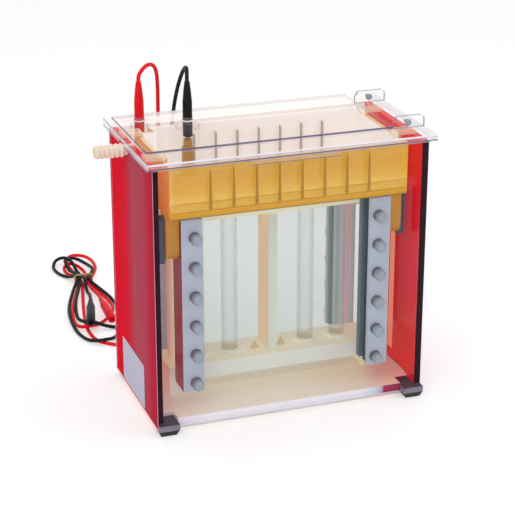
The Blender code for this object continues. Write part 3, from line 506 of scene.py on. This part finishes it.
LEAD_D = 3.5 * MM
FLOOR_CLEAR = 0.15 * MM
LIE_Z = LEAD_D / 2 + FLOOR_CLEAR    # middle of a strand that lies on the floor
ACROSS = LEAD_D + 0.12 * MM         # from strand to strand where one lies on another
PILE_TOP = 60 * MM                  # a strand above this is on the wall, not in the pile
NEAR_FLOOR = 2.5 * MM               # a route that's this low has come down to the floor
OWN_CLEAR = 20 * MM                 # a strand can lie on its own line from this far along it
CURVE_POINTS = 24                   # on each stretch between two of a route's points
ROUTE_STEP = 2.2 * MM
BUMP_SPREAD = 11 * MM               # how gently a strand comes up to one that it crosses
SMOOTHING = 6
PLUG_R = 4.3
UNDER_PLUG = 5 * MM
RISE_POINTS = 26                    # the end of a lead's line, which rises to its plug
END_POINTS = 30                     # the end of a lead's line, which its plug doesn't lie on
TIE_Y = 290 * MM

# Each lead's route: its drop from the boot over the lid and down the wall, then its turns in
# the hank, seen from above, and the places of its far plug's tail and nose
RED_DROP = [
    (-99.5, 52.8, 280.6), (-98.8, 53.3, 285), (-95, 56.2, 288.8), (-90.5, 59.6, 291),
    (-86, 62.8, 291.2), (-81.4, 66.6, 288.2), (-77.8, 71.2, 280), (-75.8, 76, 266),
    (-74.8, 79.6, 248), (-74.4, 81.6, 225), (-74.3, 82, 180), (-74.4, 82, 120), (-74.6, 82, 60),
    (-75, 82.3, 26), (-76.6, 85, 11), (-81.5, 91.5, 3.6), (-89, 101, 1.9), (-97, 112, 1.9),
    (-103.2, 122.3, 1.9)]
RED_HANK = [
    (-114, 131), (-122, 141), (-125, 156), (-124.5, 176), (-120, 205), (-113, 238), (-106.5, 266),
    (-101.5, 290), (-101.5, 311), (-103.5, 334), (-102.5, 355), (-97, 368), (-89, 371),
    (-80.5, 365), (-76, 350), (-77.5, 328), (-86, 307), (-93, 290), (-91, 264), (-87.5, 238),
    (-87.5, 218), (-93, 202), (-101, 190), (-111, 179.5), (-121, 171.5), (-129.5, 172.5),
    (-133, 185), (-131, 207), (-124.5, 234), (-114, 264), (-104.5, 290), (-104.5, 305),
    (-109.5, 319), (-110.5, 332), (-104, 340), (-95.5, 336), (-91.5, 322), (-93, 305), (-96, 290),
    (-96.4, 272), (-96.4, 258), (-96.6, 244), (-97, 230)]
BLACK_DROP = [
    (-60, 39, 280.6), (-59.9, 39.5, 284.6), (-58.8, 43, 288.2), (-57.6, 48.5, 289.4),
    (-57.6, 54.5, 287), (-58.8, 60.5, 279), (-60.4, 66.4, 267), (-61.8, 72.2, 251),
    (-62.8, 77.2, 231), (-63.6, 80.6, 206), (-64.4, 82, 160), (-64.8, 82, 90), (-65, 82, 40),
    (-65.4, 83.4, 20), (-67, 88.5, 8.5), (-69.6, 98, 2.9), (-72.5, 111, 1.9), (-76, 128, 1.9),
    (-79.6, 147, 1.9)]
BLACK_HANK = [
    (-86, 159), (-98, 166), (-112, 170), (-122.5, 178), (-127.5, 193), (-126, 214), (-120, 240),
    (-111, 266), (-103, 290), (-104.5, 307), (-107.5, 328), (-106, 347), (-98.5, 357.5),
    (-89, 354), (-83, 338), (-83, 318), (-89, 303), (-94.5, 290), (-90, 264), (-84.5, 236),
    (-84, 208), (-89, 181), (-97, 157), (-107.5, 139), (-119, 134), (-129, 142), (-135, 160),
    (-136.5, 184), (-133.5, 212), (-126.5, 240), (-116, 268), (-106, 290), (-111, 307),
    (-118, 323), (-120, 340), (-115.5, 353), (-107.5, 353.5), (-101.5, 341), (-99, 322),
    (-98, 305), (-98.5, 290), (-101, 274), (-103, 258), (-105.6, 240), (-108, 228), (-110.4, 216)]
RED_PLUG = ((-97, 230), (-99.4, 172))
BLACK_PLUG = ((-110.4, 216), (-124.6, 158))


def smooth_curve(route):
    """Close points on a smooth curve through a route's points."""
    ends = [2 * route[0] - route[1]] + route + [2 * route[-1] - route[-2]]
    fine = []
    for a, b, c, d in zip(ends, ends[1:], ends[2:], ends[3:]):
        for i in range(CURVE_POINTS):
            t = i / CURVE_POINTS
            fine.append(0.5 * (2 * b + (c - a) * t + (2 * a - 5 * b + 4 * c - d) * t ** 2
                               + (3 * b - a - 3 * c + d) * t ** 3))
    fine.append(route[-1])
    return fine


def evenly(fine):
    """Points at even distances along a curve, about ROUTE_STEP apart."""
    run = [0.0]
    for a, b in zip(fine, fine[1:]):
        run.append(run[-1] + (b - a).length)
    count = round(run[-1] / ROUTE_STEP)
    even, k = [], 0
    for i in range(count + 1):
        want = run[-1] * i / count
        while k < len(fine) - 2 and run[k + 1] < want:
            k += 1
        share = (want - run[k]) / max(run[k + 1] - run[k], 1e-9)
        even.append(fine[k].lerp(fine[k + 1], min(share, 1.0)))
    return even


def cell(point):
    """The square of the floor, one strand across, that a point is over."""
    return int(point.x // ACROSS), int(point.y // ACROSS)


def least_heights(route, below, start, ahead):
    """How high each point has to be, from index start, to lie on the strands under it.

    Those are the points of below, and the route's own once it has gone on by ahead points.
    """
    need = [LIE_Z] * len(route)
    cells = {}
    for p in below:
        cells.setdefault(cell(p), []).append(p)
    placed = []
    for i, p in enumerate(route):
        if i >= start:
            a, b = cell(p)
            near = [q for u in (a - 1, a, a + 1) for v in (b - 1, b, b + 1)
                    for q in cells.get((u, v), ())]
            for q in near:
                flat = math.hypot(p.x - q.x, p.y - q.y)
                if flat < ACROSS and q.z < PILE_TOP:
                    need[i] = max(need[i], q.z + math.sqrt(ACROSS ** 2 - flat ** 2))
        placed.append(Vector((p.x, p.y, max(p.z, need[i]) if i >= start else p.z)))
        if i >= ahead:
            old = placed[i - ahead]
            cells.setdefault(cell(old), []).append(old)
    return need


def lay_on(route, below, start):
    """Raises the floor part of a route, from index start, over what lies under it and itself."""
    step = (route[1] - route[0]).length
    need = least_heights(route, below, start, round(OWN_CLEAR / step))
    spread = BUMP_SPREAD / step
    reach = round(3 * spread)
    raised = []
    for i, p in enumerate(route):
        z = p.z
        if i >= start:
            for j in range(max(start, i - reach), min(len(route), i + reach + 1)):
                z = max(z, LIE_Z + (need[j] - LIE_Z) * math.exp(-((i - j) / spread) ** 2))
        raised.append(Vector((p.x, p.y, z)))
    for _ in range(SMOOTHING):
        smooth = [p.copy() for p in raised]
        for i in range(start + 1, len(raised) - 1):
            middle = (raised[i - 1].z + raised[i + 1].z) / 2
            smooth[i].z = max((raised[i].z + middle) / 2, need[i])
        raised = smooth
    return raised


def distance_to(point, start, end):
    """How far a point is from a line's piece, seen from above."""
    along = (end - start).to_2d()
    gap = (point - start).to_2d()
    share = min(max(gap.dot(along) / along.length_squared, 0), 1)
    return (gap - along * share).length


def far_plug(colour, ends, below):
    """The insulated plug at a lead's far end, lying on whatever is under it."""
    tail, nose = [spot(x, y, 0) for x, y in ends]
    under = [q.z for q in below if distance_to(q, tail, nose) < UNDER_PLUG and q.z < PILE_TOP]
    tail.z = max(under, default=0) + LIE_Z + PLUG_R * MM
    nose.z = tail.z
    place = Matrix.Translation(tail) @ (nose - tail).to_track_quat("Z", "Y").to_matrix().to_4x4()
    end = (nose - tail).length / MM
    shape = bmesh.new()
    add_turned(shape, [
        (1.9, 0), (2.3, 3), (2.6, 8), (3.6, 17), (PLUG_R, 20), (PLUG_R, end - 13),
        (PLUG_R - 0.6, end - 12.4), (PLUG_R - 0.6, end - 11.4), (PLUG_R, end - 10.8),
        (PLUG_R, end - 2.4), (PLUG_R - 0.9, end - 0.8), (1.6, end - 0.6), (1.5, end - 4)], place, 28)
    key = f"{colour}_vinyl"
    plug = piece(f"{colour}_far_plug", shape, "lid", key, key, True, f"{colour}_lead_plug")
    return plug, tail.z


def rise_to(line, height):
    """Lifts the last points of a line smoothly until it ends at a height."""
    for i in range(RISE_POINTS):
        share = (i + 1) / RISE_POINTS
        share = share * share * (3 - 2 * share)
        point = line[i - RISE_POINTS]
        point.z = max(point.z, point.z + (height - point.z) * share)


def lead(colour, drop, hank, ends, below):
    """One flexible lead from its boot, over the back of the tank and through the hank."""
    route = [spot(*row) for row in drop] + [spot(x, y, LIE_Z / MM) for x, y in hank]
    line = evenly(smooth_curve(route))
    start = next(i for i, point in enumerate(line) if point.z < NEAR_FLOOR)
    line = lay_on(line, below, start)
    plug, height = far_plug(colour, ends, below + line[:-END_POINTS])
    rise_to(line, height)
    name, key = f"{colour}_cord", f"{colour}_vinyl"
    curve = bpy.data.curves.new(name, "CURVE")
    curve.dimensions = "3D"
    curve.bevel_depth = LEAD_D / 2
    curve.bevel_resolution = 3
    curve.use_fill_caps = True
    spline = curve.splines.new("POLY")
    spline.points.add(len(line) - 1)
    for point, co in zip(spline.points, line):
        point.co = (*co, 1)
    made = bpy.data.objects.new(name, curve)
    bpy.context.scene.collection.objects.link(made)
    curve.materials.append(LOOKS[key])
    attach(made, "lid")
    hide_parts(f"{colour}_lead", "lead_hank")
    return line


def make_tie(strands):
    """The flat band pulled round all the strands at the hank's waist."""
    near = [p for p in strands if abs(p.y - TIE_Y) < 3 * MM and p.z < PILE_TOP]
    left, right = min(p.x for p in near), max(p.x for p in near)
    top = max(p.z for p in near)
    inside = LEAD_D / 2 + 0.25 * MM
    outside = inside + 0.6 * MM
    half_width = 1.5 * MM
    rings = []
    for x, z, start in ((right, top, 0), (left, top, 90), (left, LIE_Z, 180), (right, LIE_Z, 270)):
        for i in range(6):
            turn = math.radians(start + 18 * i)
            a, b = math.cos(turn), math.sin(turn)
            ring = []
            for side, out in ((-1, inside), (1, inside), (1, outside), (-1, outside)):
                reach = min(out, z - 0.05 * MM) if b < 0 else out
                ring.append((x + a * out, TIE_Y + side * half_width, z + b * reach))
            rings.append(ring)
    shape = bmesh.new()
    join_rings(shape, rings, closed=True)
    piece("tie_band", shape, "lid", "tie", "tie_plastic", True, "hank_tie")


# ---------------------------------------------------------------- tank

# The (y, z) corners of the thin boxes on the side panels
LABEL = ((-27, 8), (42, 49))
LOWER_HIGHLIGHT = ((-68, 5.9), (68, 7.2))
FLOOR_BEAD = ((-43, 13.05), (43, 14.3))
REFLECTION_BAND = ((-13.5, 24), (-3.5, 187))
# The rubber feet: the sleeve's corner nearest the tank's middle, its outer x and y, the same
# for the pad under it, and the heights of the pad, of the sleeve's foot and of its top
FOOT_INNER = (104.2, 50.9)
FOOT_OUTER_X = 122.9
FOOT_OUTER_Y = {"front": 70.9, "rear": 68.9}
PAD_INNER = (107, 53.4)
PAD_OUTER_X = 120.6
PAD_INSET_Y = 2.2
FOOT_HEIGHTS = (0.1, 5.4, 10.6)


def dress_panels():
    """Finishes on the four panels, the floor and the lower electrode."""
    # front and rear edges of the side panels get painted shade
    sides = [("red_edge_painted_shade", lambda c, n: abs(n.y) > 0.7 and abs(c.y) > 61),
             # outer faces of the side panels: red with a painted reflection band
             ("red_outside_painted_reflection", lambda c, n: abs(n.x) > 0.7 and c.x * n.x > 0)]
    finish("left_panel", "red_inside", faces=sides)
    finish("right_panel", "red_inside", faces=sides)
    for node, key, top in (("front_panel", "clear", "clear_edge"),
                           ("back_panel", "clear_back", "pale_edge")):
        # the left end faces get painted highlights
        finish(node, key, faces=[("panel_end", lambda c, n: n.x < -0.7),
                                 (top, lambda c, n: abs(n.z) > 0.7)])
    # the floor sheet's front face gets the painted highlight and reflections
    finish("base_plate", "cream_floor", faces=[("painted_highlight_edge", lambda c, n: n.y < -0.7)])
    finish("lower_electrode_post", "cream", 0.3)
    finish("lower_electrode_wire", "platinum")


def side_strip(name, from_x, to_x, corners, key, slot, smooth=False):
    """A thin box on a side panel, as a piece of its own."""
    shape = bmesh.new()
    add_box(shape, (from_x, *corners[0]), (to_x, *corners[1]))
    return piece(name, shape, "tank", key, slot, smooth)


def panel_details():
    """The label and painted lower-edge highlight outside the left panel, the bead and painted
    reflection inside the right.
    """
    low, high = box_of("right_panel")
    inner, outer = low.x, high.x
    label = side_strip("side_label", -outer - 0.25, -outer, LABEL, "label", "cream_plastic")
    bevelled(label, 0.1)
    # a thin pink-white box along the left panel's foot, a painted highlight
    side_strip("side_lower_highlight", -outer - 0.5, -outer + 0.1, LOWER_HIGHLIGHT, "red_lower_highlight",
               "red_acrylic")
    bead = side_strip("floor_joint", inner - 1.5, inner - 0.05, FLOOR_BEAD, "joint",
                      "cream_plastic", True)
    bevelled(bead, 0.5)
    # the glowing strip inside the right panel is a painted reflection
    side_strip("side_painted_reflection", inner - 0.12, inner - 0.02, REFLECTION_BAND, "band", "red_acrylic")


def oblong(low, high):
    """The four corners of a rectangle, from two that are opposite."""
    return [low, (high[0], low[1]), high, (low[0], high[1])]


def corner_foot(fore, y, hand, x):
    """A rubber foot that wraps a tank corner and narrows to the pad it stands on."""
    reach = FOOT_OUTER_Y[fore]
    sleeve = oblong(FOOT_INNER, (FOOT_OUTER_X, reach))
    pad = oblong(PAD_INNER, (PAD_OUTER_X, reach - PAD_INSET_Y))
    shape = bmesh.new()
    join_rings(shape, [[spot(x * a, y * b, z) for a, b in ring]
                       for ring, z in zip((pad, sleeve, sleeve), FOOT_HEIGHTS)])
    foot = piece(f"foot_{fore}_{hand}_rubber", shape, "tank", "rubber", "black_rubber", False,
                 f"foot_{fore}_{hand}")
    foot.data.materials.append(LOOKS["rubber_top"])
    foot.data.materials.append(LOOKS["rubber_dark"])
    # upright faces get the lightest painted copy, upward faces the mid grey one, the slanted and
    # under faces stay black
    for face in foot.data.polygons:
        if face.normal.z > 0.7:
            face.material_index = 2
        elif abs(face.normal.z) < 0.2:
            face.material_index = 1
    bevelled(foot, 0.5)


# ---------------------------------------------------------------- exchanger

TUBE_COUNT = 4
TUBE_BORE_PROFILE = [(5.6, 43.1), (5.5, 43.3)]
PORT_BORE_PROFILE = [(3.8, -0.6), (3.6, 0.1)]
GUSSET_X = (-13.5, 11.5)
GUSSET_Y = (-5, -3.4)
GUSSET_HALF = 4
GUSSET_Z = (40.1, 47.5)


def dress_exchanger():
    """Finishes on the heat exchanger."""
    finish("lower_manifold", "cream", 0.6, faces=[("cream_front", lambda c, n: n.y < -0.7)])
    finish("upper_manifold", "cream_upper", 0.5)
    # the post's side faces get the painted warm light
    finish("center_post", "post", 0.5, 3, [("post_side", lambda c, n: abs(n.x) > 0.7)])
    finish("riser_tube", "cream", 0.3)
    finish("inlet_port", "barbs", 0.15)
    for number in range(1, TUBE_COUNT + 1):
        finish(f"cooling_tube_{number}", "tube")


def exchanger_details():
    """The bores of the cooling tubes and the hose fitting, and the centre post's two gussets."""
    holes = bmesh.new()
    for number in range(1, TUBE_COUNT + 1):
        tube = middle_of(f"cooling_tube_{number}")
        add_turned(holes, TUBE_BORE_PROFILE, at(tube.x, 0, 0), 28)
    low, high = box_of("inlet_port")
    radius = (high.y - low.y) / 2
    tip = at(low.x, low.y + radius, high.z - radius) @ Matrix.Rotation(-math.pi / 2, 4, "Y")
    add_turned(holes, PORT_BORE_PROFILE, tip)
    piece("water_ways", holes, "heat_exchanger", "bore", "cream_plastic")
    webs = bmesh.new()
    foot, top = GUSSET_Z
    for x in GUSSET_X:
        corners = [(x - GUSSET_HALF, foot), (x + GUSSET_HALF, foot), (x, top)]
        join_rings(webs, [[spot(a, y, z) for a, z in corners] for y in GUSSET_Y])
    piece("post_webs", webs, "heat_exchanger", "bore", "cream_plastic", False)


# ---------------------------------------------------------------- chamber

RIB_COUNT = 8
RIB_PITCH = 20.2
# A rib's half width, its y from and to, its z from and to, and its taper
FRONT_RIB = (1.5, -58.08, -47, 197, 231, 0.4)
REAR_RIB = (0.4, 49, 53.9, 196, 228, 0.5)
SCREW_COUNT = 6
SCREW_PITCH = 26.6
SCREW_FIRST_Z = 38
SCREW_X = 83.35
BAR_Y = (41.35, 44.85)
SCREW_PROFILE = [(0.6, 61.2), (3.9, 61.1), (4.7, 60.4), (5, 59.6), (5, 56), (4.4, 55.2), (2.6, 55),
                 (2.6, 43.5)]
SHADE_RING_PROFILE = [(2.8, 51.3), (5, 51.3), (5.2, 50.95), (2.8, 50.95)]


def dress_chamber():
    """Finishes on the amber chamber and its electrode."""
    finish("upper_chamber", "amber", 0.4, faces=[
        ("amber_front", lambda c, n: n.y < -0.7 and c.y < -20),
        ("amber_end", lambda c, n: abs(n.x) > 0.7 and c.x * n.x > 0 and abs(c.x) > 100),
        # the rim's top faces get painted light
        ("amber_rim_painted_light", lambda c, n: c.z > 238 or (n.z > 0.7 and c.z > 230 and c.y < 50)),
        # inner and upward faces get the painted light
        ("amber_pale", lambda c, n: (n.z > 0.7 and (c.z < 200 or c.y > 50))
         or (c.y > 40 and n.y < -0.5)
         or (abs(c.x) > 80 and c.x * n.x < 0 and c.z > 195))])
    finish("upper_electrode_post", "amber_rib", 0.3)
    finish("upper_electrode_wire", "platinum")


def add_rib(shape, x, rib):
    """Adds one of a wall's ribs."""
    half, from_y, to_y, from_z, to_z, taper = rib
    add_box(shape, (x - half, from_y, from_z), (x + half, to_y, to_z), taper)


def chamber_ribs():
    """Tapered ribs on the chamber's front wall and thin ones, one fewer, on its rear wall."""
    front = bmesh.new()
    rear = bmesh.new()
    for i in range(RIB_COUNT):
        x = (i - (RIB_COUNT - 1) / 2) * RIB_PITCH
        add_rib(front, x, FRONT_RIB)
        if i > 0:
            add_rib(rear, x, REAR_RIB)
    piece("chamber_front_ribs", front, "upper_chamber", "amber_rib", "amber_plastic", False)
    piece("chamber_rear_ribs", rear, "upper_chamber", "amber_far", "amber_plastic", False)


def dress_sandwich(fore):
    """Finishes on one pair of plates, its gasket, spacers, clamps and cams."""
    finish(f"gasket_{fore}", "gasket", 0.1)
    for side in ("outer", "inner"):
        finish(f"glass_plate_{fore}_{side}", "glass", faces=[
            ("glass_edge", lambda c, n: abs(n.z) > 0.5),
            ("glass_side", lambda c, n: abs(n.x) > 0.5)])
    for hand in ("left", "right"):
        finish(f"spacer_{fore}_{hand}", "slate", 0.1)
        rear_right = fore == "rear" and hand == "right"
        finish(f"clamp_{fore}_{hand}", "clamp_far" if rear_right else "clamp", 0.5, 3, [
            # the channel's inner faces get painted shade
            ("channel", lambda c, n: -33.5 < c.y < 0 and (n.y < -0.7 or n.x < -0.7)),
            # the outer side faces get the painted red reflection
            ("clamp_side", lambda c, n: abs(n.x) > 0.7 and abs(c.x) > 90)])
        finish(f"cam_{fore}_{hand}", "cam", 0.6, 3)


def thumbscrews(fore, y, hand, x):
    """A clamp's pressure bar with its fluted thumbscrews, and a ring of painted shade round each
    hole.
    """
    node = f"pressure_bar_{fore}_{hand}"
    low, high = box_of(node)
    near, far = sorted(y * place for place in BAR_Y)
    bar = bmesh.new()
    add_box(bar, (low.x, near, low.z), (high.x, far, high.z))
    bevelled(piece(f"bar_{fore}_{hand}", bar, node, "slate", "screw_plastic", True, node), 0.4)
    screws = bmesh.new()
    shade_rings = bmesh.new()
    outward = Matrix.Rotation(-y * math.pi / 2, 4, "X")
    for i in range(SCREW_COUNT):
        place = at(x * SCREW_X, 0, SCREW_FIRST_Z + SCREW_PITCH * i) @ outward
        add_turned(screws, SCREW_PROFILE, place, 40, 20, 0.06)
        # a thin dark ring of painted shade round the screw's hole
        add_turned(shade_rings, SHADE_RING_PROFILE, place)
    piece(f"screws_{fore}_{hand}", screws, node, "screw", "screw_plastic", True)
    piece(f"screw_shade_rings_{fore}_{hand}", shade_rings, "upper_chamber", "clamp_screw_shade", "clamp_plastic")


# ---------------------------------------------------------------- lid

LUG_SCREW_X = 110
LUG_SCREW_Z = 250.5
LUG_SCREW_PROFILE = [(0.5, 4), (2.4, 3.9), (2.9, 3.2), (2.9, 1.6), (1.5, 1.6), (1.5, -2.8)]
BOOT_HIGHLIGHT_PROFILE = [(4.35, 245.05), (5.6, 245.05), (5.3, 245.8), (4.35, 245.8)]


def dress_lid():
    """Clear lid with its grey edges, painted highlights, painted shadow under its front, lugs,
    collars and boots.
    """
    finish("lid", "clear_lid", faces=[
        ("lid_side", lambda c, n: n.x < -0.5 and c.x < -124),
        ("lid_faint", lambda c, n: n.x > 0.5 and c.x > 124),
        ("lid_rear", lambda c, n: abs(n.y) > 0.5 and c.y > 66),
        ("lid_front", lambda c, n: n.y < -0.5 and c.y < -70),
        # the underside of the front flange gets the painted shadow
        ("lid_under", lambda c, n: n.z < -0.5 and c.z < 241 and c.y < -60),
        ("lid_faint", lambda c, n: abs(n.z) < 0.5 and c.z > 244 and c.y > -40),
        ("lid_line", lambda c, n: c.z > 245 and abs(n.z) < 0.5
         and (-60 < c.y < -40 or c.x < -115))])
    for name in ("front", "rear"):
        finish(f"lid_lug_{name}", "clear_lid", faces=[("lug_edge", lambda c, n: abs(n.y) < 0.5)])
    for colour in ("red", "black"):
        finish(f"{colour}_lead_collar", "clear_lid", 0.2,
               faces=[("collar", lambda c, n: abs(n.z) < 0.5)])
        finish(f"{colour}_lead_boot", f"{colour}_vinyl", 0.15)


def lid_details():
    """The painted highlight rings round the two boots, and a screw through each lug."""
    rings = bmesh.new()
    for colour in ("red", "black"):
        boot = middle_of(f"{colour}_lead_boot")
        add_turned(rings, BOOT_HIGHLIGHT_PROFILE, at(boot.x, boot.y, 0), 28)
    # thin white rings on the lid round the boots are painted highlights
    piece("lid_boot_ring_highlights", rings, "lid", "painted_highlight_edge", "clear")
    for name in ("front", "rear"):
        lug = middle_of(f"lid_lug_{name}")
        screw = bmesh.new()
        place = at(LUG_SCREW_X, lug.y, LUG_SCREW_Z) @ Matrix.Rotation(math.pi / 2, 4, "X")
        add_turned(screw, LUG_SCREW_PROFILE, place, 20)
        piece(f"lug_screw_{name}", screw, "lid", "screw", "screw_plastic")


# ---------------------------------------------------------------- stage

def make_floor():
    """A wide pale floor under the tank, its size in metres."""
    shape = bmesh.new()
    bmesh.ops.create_grid(shape, x_segments=1, y_segments=1, size=6)
    mesh = bpy.data.meshes.new("floor")
    shape.to_mesh(mesh)
    shape.free()
    floor = bpy.data.objects.new("floor", mesh)
    bpy.context.scene.collection.objects.link(floor)
    mesh.materials.append(material("studio_floor", (0.62, 0.62, 0.62), 0.8,
                                   second=(0.6, 0.6, 0.6), grain=5, bump=0.0, glow=0.75,
                                   gloss=0.0))


def make_lights():
    """A white surround and three soft lights, in metres and watts."""
    world = bpy.data.worlds.new("studio")
    world.use_nodes = True
    world.node_tree.nodes["Background"].inputs["Color"].default_value = (1, 1, 1, 1)
    world.node_tree.nodes["Background"].inputs["Strength"].default_value = 0.72
    bpy.context.scene.world = world
    for name, place, size, power in (("key", (-0.9, -1.3, 1.6), 1.2, 9),
                                     ("fill", (1.4, -0.8, 1.1), 1.0, 3),
                                     ("top", (0.1, 0.2, 2.0), 1.6, 7)):
        data = bpy.data.lights.new(name, "AREA")
        data.size = size
        data.energy = power
        light = bpy.data.objects.new(name, data)
        light.location = place
        light.rotation_mode = "QUATERNION"
        aim = Vector((0, 0, 0.1)) - Vector(place)
        light.rotation_quaternion = aim.to_track_quat("-Z", "Y")
        bpy.context.scene.collection.objects.link(light)


def set_renderer():
    """Plain colours, and enough bounces to see through all the clear sheets."""
    scene = bpy.context.scene
    scene.view_settings.view_transform = "Standard"
    scene.cycles.max_bounces = 40
    scene.cycles.transparent_max_bounces = 64
    scene.cycles.transmission_bounces = 24


make_camera()
red_line = lead("red", RED_DROP, RED_HANK, RED_PLUG, [])
black_line = lead("black", BLACK_DROP, BLACK_HANK, BLACK_PLUG, red_line)
make_tie(red_line + black_line)
dress_panels()
panel_details()
for corner in CORNERS:
    corner_foot(*corner)
dress_exchanger()
exchanger_details()
dress_chamber()
chamber_ribs()
dress_sandwich("front")
dress_sandwich("rear")
for corner in CORNERS:
    thumbscrews(*corner)
dress_lid()
lid_details()
make_floor()
make_lights()
set_renderer()
